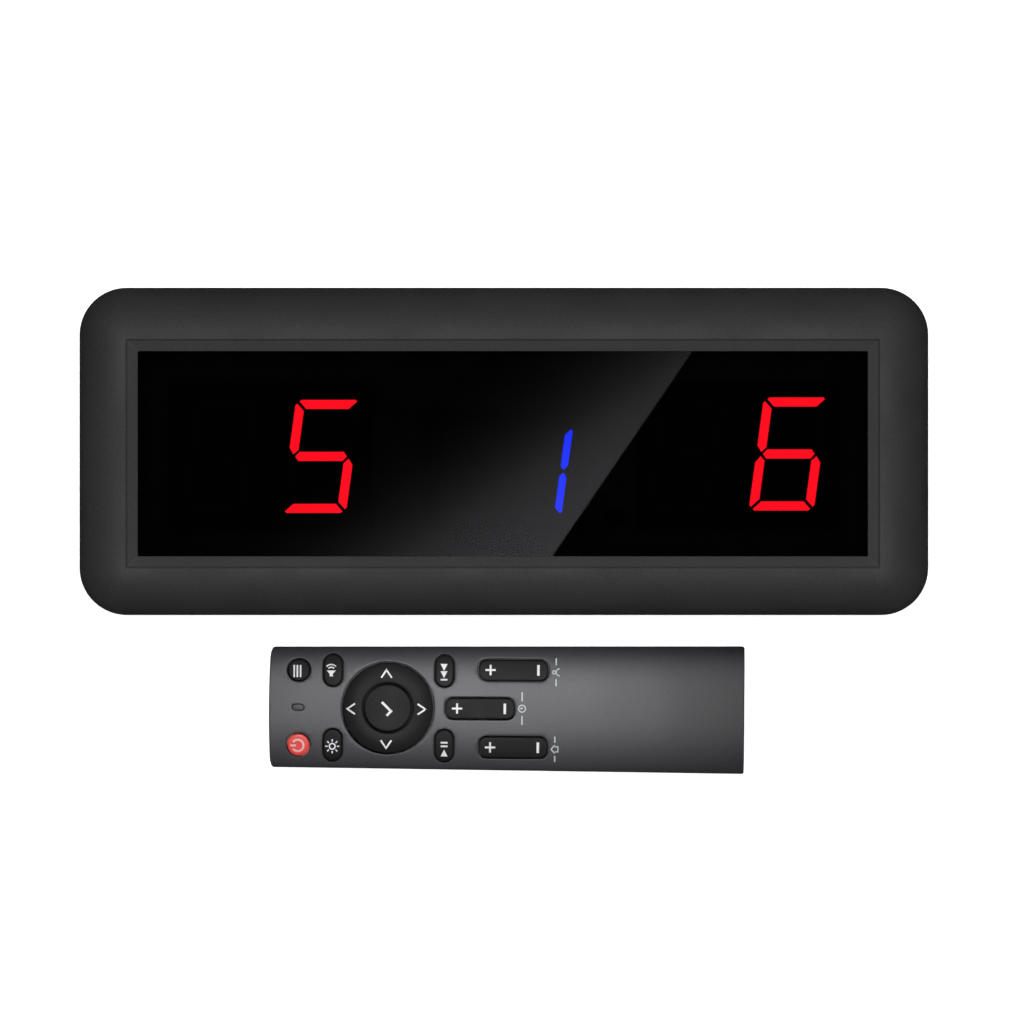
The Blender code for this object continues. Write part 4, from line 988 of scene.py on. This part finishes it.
NAV_X = middle_of("ok_key")[0]
NAV_INSIDE = 8.30
NAV_OUTSIDE = 14.95
NAV_FACE_Z = remote_crown(NAV_X, NAV_OUTSIDE * MM) + KEY_PROUD
NAV_TOP_Z = REMOTE_HEIGHT + 0.6 * MM
NAV_FACE = (  # (radius in millimetres, height) across the ring's face
    (NAV_INSIDE, NAV_TOP_Z - 0.5 * MM), (8.38, NAV_TOP_Z - 0.22 * MM),
    (8.60, NAV_TOP_Z - 0.05 * MM), (8.95, NAV_TOP_Z), (10.7, NAV_TOP_Z - 0.12 * MM),
    (12.5, NAV_TOP_Z - 0.3 * MM), (14.35, NAV_FACE_Z), (14.70, NAV_FACE_Z - 0.12 * MM),
    (14.88, NAV_FACE_Z - 0.30 * MM), (NAV_OUTSIDE, NAV_FACE_Z - 0.55 * MM),
)
OK_BASE_Z, OK_TOP_Z = (corner.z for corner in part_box("ok_key"))
OK_FLANGE_TOP_Z = OK_BASE_Z + 0.6 * MM
OK_RADIUS = 7.8 * MM
OK_FLANGE_RADIUS = 8.8 * MM


def nav_height(x, y):
    """Height of the ring's face at a place in the handset's frame."""
    radius = hypot(x - NAV_X, y) / MM
    for (near, near_z), (far, far_z) in zip(NAV_FACE, NAV_FACE[1:]):
        if radius <= far:
            return near_z + (far_z - near_z) * (radius - near) / (far - near)
    return NAV_FACE[-1][1]


def make_nav():
    """The four-way ring and the OK key in its middle."""
    low_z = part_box("nav_ring")[0].z
    centre = centre_of("ok_key")
    place = (centre.x, centre.y, 0.0)
    section = [(NAV_INSIDE * MM, low_z), (NAV_OUTSIDE * MM, low_z)]
    section += [(radius * MM, z) for radius, z in reversed(NAV_FACE)]
    ring = turned("nav_ring_cap", section, 96, closed=True, location=place)
    dress(ring, key_plastic, "key", "nav_ring", "nav_ring")
    profile = [(OK_FLANGE_RADIUS, OK_BASE_Z), (OK_FLANGE_RADIUS, OK_FLANGE_TOP_Z)]
    profile.append((OK_RADIUS, OK_FLANGE_TOP_Z))
    profile += [(OK_RADIUS - inset, OK_TOP_Z - drop) for inset, drop in round_over(KEY_EDGE, FINE_TURNS)]
    profile += [(4.0 * MM, OK_TOP_Z), (1.0 * MM, OK_TOP_Z)]
    key = turned("ok_key_cap", profile, 72, location=place)
    dress(key, key_plastic, "key", "ok_key", "ok_key")


# ---- printed marks
INK_ABOVE = 0.02 * MM
INK_BELOW = 0.08 * MM
INK_STEP = 0.35 * MM


def dense(path):
    """A path with points no further apart than the step."""
    points = []
    for here, there in zip(path, path[1:]):
        count = max(1, ceil(hypot(there[0] - here[0], there[1] - here[1]) / INK_STEP))
        points += [between(here, there, step / count) for step in range(count)]
    return points if path[0] == path[-1] else [*points, path[-1]]


def add_stroke(shape, path, height):
    """Adds an inked line on a surface. The path is (x, y, width) in metres."""
    closed = path[0] == path[-1]
    points = dense(path)
    across = max(1, ceil(max(width for _, _, width in points) / INK_STEP))
    turns = ways([point[:2] for point in points])
    if not closed:
        turns[-1] = turns[-2]
    rings = []
    for index, ((x, y, width), out) in enumerate(zip(points, turns)):
        into = turns[index - 1] if closed or index else out
        side = Vector((-(into.y + out.y), into.x + out.x)).normalized()
        lean = max(side.dot(Vector((-into.y, into.x))), 0.5)
        top = []
        bottom = []
        for share in range(across + 1):
            at = Vector((x, y)) + side * (width / lean) * (0.5 - share / across)
            top.append((at.x, at.y, height(at.x, at.y) + INK_ABOVE))
            bottom.append((at.x, at.y, height(at.x, at.y) - INK_BELOW))
        rings.append(top + bottom[::-1])
    add_loft(shape, rings, closed)


def arc(centre, radius, start, end, width, steps=20):
    """Path along a circle, angles in degrees."""
    path = []
    for step in range(steps + 1):
        angle = radians(start + (end - start) * step / steps)
        path.append((centre[0] + radius * cos(angle), centre[1] + radius * sin(angle), width))
    return path


def line(width, *numbers):
    """Path through points given as x, y, x, y and so on."""
    return [(x, y, width) for x, y in zip(numbers[::2], numbers[1::2])]


def ring_path(centre, radius, width, steps=28):
    """Circle path that ends where it starts."""
    path = arc(centre, radius, 0, 360 - 360 / steps, width, steps - 1)
    return path + path[:1]


# Each glyph is a list of paths in millimetres, to the right and up as the handset is held.
GLYPHS = {
    "menu": [line(0.55, -2.0, y, 2.0, y) for y in (1.05, 0.0, -1.05)],
    "sound": [
        [(-2.1, 0.0, 1.1), (-1.2, 0.0, 1.1), (-0.15, 0.0, 3.0)],
        arc((-0.3, 0.0), 1.25, -48, 48, 0.42),
        arc((-0.3, 0.0), 2.15, -48, 48, 0.42),
    ],
    "power": [arc((0.0, 0.0), 1.9, 125, 415, 0.66, 30), line(0.66, 0.0, 0.55, 0.0, 2.4)],
    "light": [ring_path((0.0, 0.0), 0.95, 0.45)]
    + [
        line(0.42, *(part for radius in (1.55, 2.35) for part in (radius * cos(turn), radius * sin(turn))))
        for turn in (tau * share / 8 for share in range(8))
    ],
    "reset": [
        line(0.55, -3.3, -1.15, -3.3, 1.15),
        [(-2.7, 0.0, 0.08), (-0.5, 0.0, 2.3)],
        [(-0.3, 0.0, 0.08), (1.9, 0.0, 2.3)],
    ],
    "stop": [
        [(-3.0, 0.0, 2.3), (-0.8, 0.0, 0.08)],
        line(0.6, 0.35, -1.15, 0.35, 1.15),
        line(0.6, 1.55, -1.15, 1.55, 1.15),
    ],
    "tick": [line(0.8, -2.2, -0.1, -0.7, -1.55, 2.3, 1.5)],
    "plus": [
        line(0.64, -1.7, 0.0, 1.7, 0.0),
        line(0.64, 0.0, 0.32, 0.0, 1.7),
        line(0.64, 0.0, -0.32, 0.0, -1.7),
    ],
    "minus": [line(0.85, -1.75, 0.0, 1.75, 0.0)],
    "chevron": [line(0.55, -1.75, -1.1, 0.0, 1.5, 1.75, -1.1)],
    "visitor": [
        line(0.45, -4.6, 0.0, -2.3, 0.0),
        ring_path((0.0, 0.65), 0.5, 0.38),
        arc((0.0, -1.15), 1.15, 0, 180, 0.38),
        line(0.45, 2.3, 0.0, 4.6, 0.0),
    ],
    "clock": [
        line(0.45, -5.4, 0.0, -2.4, 0.0),
        ring_path((0.0, 0.0), 1.15, 0.38),
        line(0.3, 0.0, 0.65, 0.0, 0.0, 0.5, 0.0),
        line(0.45, 2.4, 0.0, 5.4, 0.0),
    ],
    "house": [
        line(0.45, -4.2, 0.0, -2.2, 0.0),
        line(0.38, -1.35, 0.05, 0.0, 1.2, 1.35, 0.05),
        line(0.38, -0.85, 0.0, -0.85, -1.05, 0.85, -1.05, 0.85, 0.0),
        line(0.45, 2.2, 0.0, 4.2, 0.0),
    ],
}


def print_glyph(name, glyph, at, height, body, ink=white_ink, slot="key", turn=0.0):
    """Prints a glyph at a place in the handset's frame, its top towards the nose."""
    shape = bmesh.new()
    angle = radians(turn)
    for path in GLYPHS[glyph]:
        placed = []
        for right, up, width in path:
            u = right * cos(angle) - up * sin(angle)
            v = right * sin(angle) + up * cos(angle)
            placed.append((at[0] - v * MM, at[1] + u * MM, width * MM))
        add_stroke(shape, placed, height)
    dress(to_object(name, shape, **AT_REMOTE), ink, slot, body)


MARK_SHIFTS = {  # how far each mark lies from its key's middle, towards -X and -Y
    "menu": (0.5 * MM, 0.4 * MM),
    "sound": (0.6 * MM, 0.0),
    "reset": (0.2 * MM, -0.4 * MM),
    "light": (0.1 * MM, 0.4 * MM),
    "stop": (0.0, 0.5 * MM),
    "power": (0.2 * MM, 0.2 * MM),
}
ROCKER_MARKS = {"plus": -7.6 * MM, "minus": 8.2 * MM}
NAV_MARK = (NAV_X - 0.5 * MM, -0.35 * MM)
ARROW_RADIUS = 11.45 * MM
LABELS = {"visitor": (16.3, 12.2), "clock": (5.1, 0.1), "house": (16.0, -13.3)}


def make_marks():
    """Generic pictograms on the keys and beside the rockers."""
    for node in PUSH_KEYS:
        glyph = node.replace("_key", "")
        ink, slot = (pink_ink, "power_key") if glyph == "power" else (white_ink, "key")
        x, y = middle_of(node)
        across, down = MARK_SHIFTS[glyph]
        print_glyph(f"mark_{glyph}", glyph, (x - across, y - down), key_height, node, ink, slot)
    for node in ROCKERS:
        x, y = middle_of(node)
        stem = node.replace("_rocker", "")
        for glyph, shift in ROCKER_MARKS.items():
            print_glyph(f"mark_{stem}_{glyph}", glyph, (x + shift, y), key_height, node)
    print_glyph("mark_ok", "tick", NAV_MARK, lambda x, y: OK_TOP_Z, "ok_key")
    for index, turn in enumerate((0, 90, 180, 270)):
        angle = radians(turn)
        at = (NAV_MARK[0] - ARROW_RADIUS * cos(angle), NAV_MARK[1] - ARROW_RADIUS * sin(angle))
        print_glyph(f"mark_arrow_{index + 1}", "chevron", at, nav_height, "nav_ring", turn=turn)
    for glyph, (x, y) in LABELS.items():
        at = (x * MM, y * MM)
        print_glyph(f"mark_{glyph}", glyph, at, remote_crown, "remote", label_ink, "remote_shell")


# ---- small parts and carried-over nodes
LENS_MORE = 0.36 * MM  # leaves a fine gap between the lens and its hole
LENS_LOW_Z = 9.4 * MM
CELL_RADIUS = 5.25
CELL_LENGTH = 44.5
CAN = CELL_LENGTH - 0.9
CELL_JACKET = mm(
    (4.4, 0.25), (CELL_RADIUS - 0.3, 0.25), (CELL_RADIUS - 0.05, 0.35), (CELL_RADIUS, 0.7),
    (CELL_RADIUS, CAN - 0.7), (CELL_RADIUS - 0.15, CAN - 0.25), (CELL_RADIUS - 0.5, CAN - 0.1),
    (3.0, CAN - 0.1),
)
CELL_CAP = mm((2.9, CAN - 0.6), (2.9, CAN), (1.9, CAN), (1.85, CELL_LENGTH - 0.15), (1.7, CELL_LENGTH))
CELL_BASE = mm((3.9, 0.0), (4.1, 0.1), (4.1, 0.24))


def make_small_parts():
    """The indicator's lens, the infrared window, and the cells with their caps."""
    width, height = (size + LENS_MORE for size in INDICATOR)
    top = REMOTE_HEIGHT - GAP
    rings = []
    for inset, z in (
        (0.0, LENS_LOW_Z), (0.0, top - 0.15 * MM), (0.05 * MM, top - 0.04 * MM), (0.15 * MM, top),
    ):
        outline = rounded_rectangle(
            width - 2 * inset, height - 2 * inset, height / 2 - inset, 8, middle_of("indicator_lens")
        )
        rings.append(at_height(outline, z))
    lens = loft("indicator", rings, **AT_REMOTE)
    dress(lens, clear_resin, "clear", "remote", "indicator_lens")
    window = block(*IR_WINDOW, name="ir_window", **AT_REMOTE)
    soften(window, 0.2 * MM, 3)
    dress(window, smoke, "ir_filter", "remote", "remote_ir_window", smooth=False)
    along = Vector((cos(REMOTE_TURN), sin(REMOTE_TURN), 0.0))
    for node, way in (("battery_a", -1), ("battery_b", 1)):
        base_at = centre_of(node) - along * (way * CELL_LENGTH * MM / 2)
        lying = {"location": base_at, "rotation": (0.0, radians(90) * way, REMOTE_TURN)}
        dress(turned(f"{node}_jacket", CELL_JACKET, **lying), jacket, "cell", "remote", node)
        dress(turned(f"{node}_cap", CELL_CAP, 32, **lying), nickel, "metal", "remote")
        dress(turned(f"{node}_base", CELL_BASE, 32, **lying), nickel, "metal", "remote")


CARRIED = {
    foam: ["window_gasket"],
    solder_mask: ["display_board"],
    digit_face: ["ir_receiver", *SEGMENTS_ON],
    component_black: ["controller_chip", "driver_chip", "buzzer"],
    steel: ["smoothing_capacitor", *(f"board_screw_{index}" for index in range(1, 5))],
    lead: ["power_lead"],
    green_mask: ["remote_board"],
    silicone: ["keypad_mat", "nav_pad"],
    clear_resin: ["remote_ir_led"],
    nickel: [f"contact_{part}" for part in ("spring_a", "spring_b", "positive", "negative", "bridge")],
}


def finish_nodes():
    """Gives each CAD node that stays its procedural finish."""
    for finish, nodes in CARRIED.items():
        for node in nodes:
            for place in frame["nodes"][node].material_slots:
                place.material = finish


# ---- studio
SENSOR = 36.0
CAMERA_HEIGHT = 4.0
FIELD = 337.85 * MM  # what the picture spans at the case's widest line
VIEW_CENTRE = (2.67 * MM, -19.99 * MM)


def make_camera():
    """The camera looks straight down."""
    lens = SENSOR * (CAMERA_HEIGHT - CROWN_START_Z) / FIELD
    data = bpy.data.cameras.new("camera")
    set_up(data, sensor_width=SENSOR, lens=lens, clip_start=0.1, clip_end=100.0)
    scene.camera = add_object("camera", data, location=(*VIEW_CENTRE, CAMERA_HEIGHT))


def hide_from(piece, *rays):
    """Keeps a piece out of some kinds of ray."""
    for ray in rays:
        setattr(piece, f"visible_{ray}", False)


def sheet(name, half, z):
    """A level stage sheet."""
    shape = bmesh.new()
    corners = [(x * half[0], y * half[1], z) for x, y in ((1, 1), (-1, 1), (-1, -1), (1, -1))]
    shape.faces.new([shape.verts.new(corner) for corner in corners])
    made = to_object(name, shape)
    made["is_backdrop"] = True
    return made


def stage_finish(name, base, glow):
    """A plain matt finish that glows, for what stands round the object."""
    made, tree, shader = new_material(name)
    feed(tree, shader, {
        "Base Color": (base, base, base, 1.0),
        "Roughness": 0.9,
        "Specular IOR Level": 0.0,
        "Emission Color": WHITE,
        "Emission Strength": glow,
    })
    return made


def make_floor():
    """A plain pale floor that throws no light back on the object."""
    floor = sheet("floor", (40.0, 40.0), -0.1 * MM)
    floor.data.materials.append(stage_finish("floor", 0.86, 0.62))
    hide_from(floor, "diffuse", "glossy")


DOME_STEPS = 48
DOME_ELEVATIONS = (-1, 10, 25, 40, 55, 70, 82)


def make_dome(name, radius, strength):
    """A plain glowing dome round the studio."""
    shape = bmesh.new()
    loops = []
    for elevation in DOME_ELEVATIONS:
        angle = radians(elevation)
        ring = at_height(circle(radius * cos(angle), DOME_STEPS), radius * sin(angle))
        loops.append([shape.verts.new(point) for point in ring])
    for lower, upper in zip(loops, loops[1:]):
        for index in range(DOME_STEPS):
            shape.faces.new((lower[index], lower[index - 1], upper[index - 1], upper[index]))
    shape.faces.new(loops[-1])
    dome = to_object(name, shape)
    dome.data.materials.append(stage_finish(name, 0.0, strength))
    hide_from(dome, "diffuse", "transmission", "shadow")
    dome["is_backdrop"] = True
    return dome


def make_backdrops():
    """A white dome behind everything, and a dim one that only reflections show."""
    hide_from(make_dome("backdrop", 10.0, 1.05), "glossy")
    hide_from(make_dome("dim_sky", 8.5, 0.09), "camera")


def make_world():
    """Dim light from the sky, and more from below, as a pale floor gives back."""
    world = bpy.data.worlds.new("studio")
    scene.world = world
    world.use_nodes = True
    tree = world.node_tree
    way = add_node(tree, "TexCoord", {})["Generated"]
    rise = add_node(tree, "SeparateXYZ", {"Vector": way})["Z"]
    level = remap(tree, rise, -0.10, 0.10, 0.60, 0.08)
    feed(tree, tree.nodes["Background"], {"Color": WHITE, "Strength": level})
    world.cycles_visibility.glossy = False


def add_light(name, kind, group, turn, place=(0, 0, 0), **settings):
    """A light that falls on a group of pieces."""
    data = set_up(bpy.data.lights.new(name, kind), **settings)
    made = add_object(name, data, location=place, rotation_euler=turn)
    made.light_linking.receiver_collection = group


def add_sun(name, strength, elevation, azimuth, spread, group):
    """A soft distant light from an elevation and azimuth in degrees."""
    turn = (radians(90 - elevation), 0.0, radians(azimuth))
    add_light(name, "SUN", group, turn, energy=strength, angle=radians(spread))


CARD_HALF = (0.25, 0.20)
CARD_RISE = 0.60  # the card's height over the window
CARD_CURVE = (  # the patch's brightness against the distance across it, in millimetres
    (-25.0, 0.000), (-18.0, 0.016), (-11.0, 0.046), (-3.5, 0.114), (4.0, 0.255), (8.0, 0.39),
    (12.0, 0.523), (18.0, 0.65), (25.0, 0.79), (31.0, 0.84), (38.0, 1.0),
)
CARD_FADE = (0.563, -0.826)  # the way the patch brightens
CARD_EDGE = ((62.1, 33.1), (15.9, -34.5))  # two places on the edge where the patch ends
CARD_STRENGTH = 1.5
CARD_TINT = (1.0, 0.955, 1.01, 1.0)


def card_finish():
    """Dark, with a graded light patch that ends in a straight edge."""
    made, tree, shader = new_material("card")
    tree.nodes.remove(shader)
    place = add_node(tree, "TexCoord", {})["Object"]

    def along(direction, origin):
        """Distance along a direction from an origin, in millimetres."""
        start = (origin[0] * MM, origin[1] * MM, 0.0)
        offset = add_node(tree, "VectorMath", {0: place, 1: start}, operation="SUBTRACT")["Vector"]
        way = (direction[0] / MM, direction[1] / MM, 0.0)
        return add_node(tree, "VectorMath", {0: offset, 1: way}, operation="DOT_PRODUCT")["Value"]

    first, last = CARD_CURVE[0][0], CARD_CURVE[-1][0]
    share = math_node(tree, "SUBTRACT", along(CARD_FADE, (0.0, 0.0)), first)
    share = math_node(tree, "DIVIDE", share, last - first)
    ramp = tree.nodes.new("ShaderNodeValToRGB")
    ramp.color_ramp.interpolation = "LINEAR"
    stops = ramp.color_ramp.elements
    for at, value in CARD_CURVE[1:-1]:
        stops.new((at - first) / (last - first))
    for stop, (at, value) in zip(stops, CARD_CURVE):
        stop.position = (at - first) / (last - first)
        stop.color = (value, value, value, 1.0)
    feed(tree, ramp, {"Fac": share})
    (x0, y0), (x1, y1) = CARD_EDGE
    length = hypot(x1 - x0, y1 - y0)
    left = ((y1 - y0) / length, -(x1 - x0) / length)
    inside = remap(tree, along(left, CARD_EDGE[0]), -0.15, 0.15, 0.0, 1.0)
    level = math_node(tree, "MULTIPLY", ramp.outputs["Color"], inside)
    level = math_node(tree, "MULTIPLY", level, CARD_STRENGTH)
    glow = add_node(tree, "Emission", {"Color": CARD_TINT, "Strength": level})["Emission"]
    feed(tree, tree.nodes["Material Output"], {"Surface": glow})
    return made


def make_card():
    """The studio card that the polished window mirrors."""
    factor = CARD_RISE / (CAMERA_HEIGHT - WINDOW_TOP_Z)
    card = sheet("card", CARD_HALF, 0.0)
    card.scale = (1 + factor, 1 + factor, 1.0)
    card.location = (-factor * VIEW_CENTRE[0], -factor * VIEW_CENTRE[1], WINDOW_TOP_Z + CARD_RISE)
    card.data.materials.append(card_finish())
    hide_from(card, "camera", "diffuse", "transmission", "shadow")


def linked(name, pieces, state):
    """A collection that a light is kept to, or kept off."""
    group = bpy.data.collections.new(name)
    for piece in pieces:
        group.objects.link(piece)
    for entry in group.collection_objects:
        entry.light_linking.link_state = state
    return group


NEAR_AIM = Vector((-0.013, -0.084, 0.018))
NEAR_DISTANCE = 0.5
NEAR_ELEVATION = radians(83)
NEAR_LIGHTS = {"near_wide": (0.160, 5.5), "near_narrow": (0.116, 4.7)}  # reach and power


def make_near_lights(pieces):
    """Two soft spots, one wide and one narrow, on the handset's middle."""
    offset = Vector((0.0, cos(NEAR_ELEVATION), sin(NEAR_ELEVATION))) * NEAR_DISTANCE
    group = linked("handset", pieces, "INCLUDE")
    turn = offset.to_track_quat("Z", "Y").to_euler()
    for name, (reach, power) in NEAR_LIGHTS.items():
        shape = {"spot_size": 2 * atan(reach / NEAR_DISTANCE), "spot_blend": 1.0, "shadow_soft_size": 0.05}
        add_light(name, "SPOT", group, turn, NEAR_AIM + offset, energy=power, **shape)


def make_lights(shaded):
    """A soft light overhead, four weak ones round about, and near ones on the handset."""
    handset = [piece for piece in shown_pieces() if body_of(piece) != ["timer"]]
    add_sun("overhead", 3.15, 86, 180, 30, linked("not_overhead", [*shaded, *handset], "EXCLUDE"))
    group = linked("shaded", shaded, "EXCLUDE")
    for azimuth in (45, 135, 225, 315):
        add_sun(f"fill_{azimuth}", 0.12, 12, azimuth, 40, group)
    make_near_lights(handset)


# ---- assembly
make_camera()
make_front()
make_back()
window_sheet = make_window()
make_bars()
make_case_screws()
make_jack()
make_remote_top()
make_remote_bottom()
make_door()
make_keys()
make_nav()
make_marks()
make_small_parts()
finish_nodes()
make_floor()
make_backdrops()
make_world()
make_card()
make_lights([window_sheet])
scene.view_settings.view_transform = "Standard"
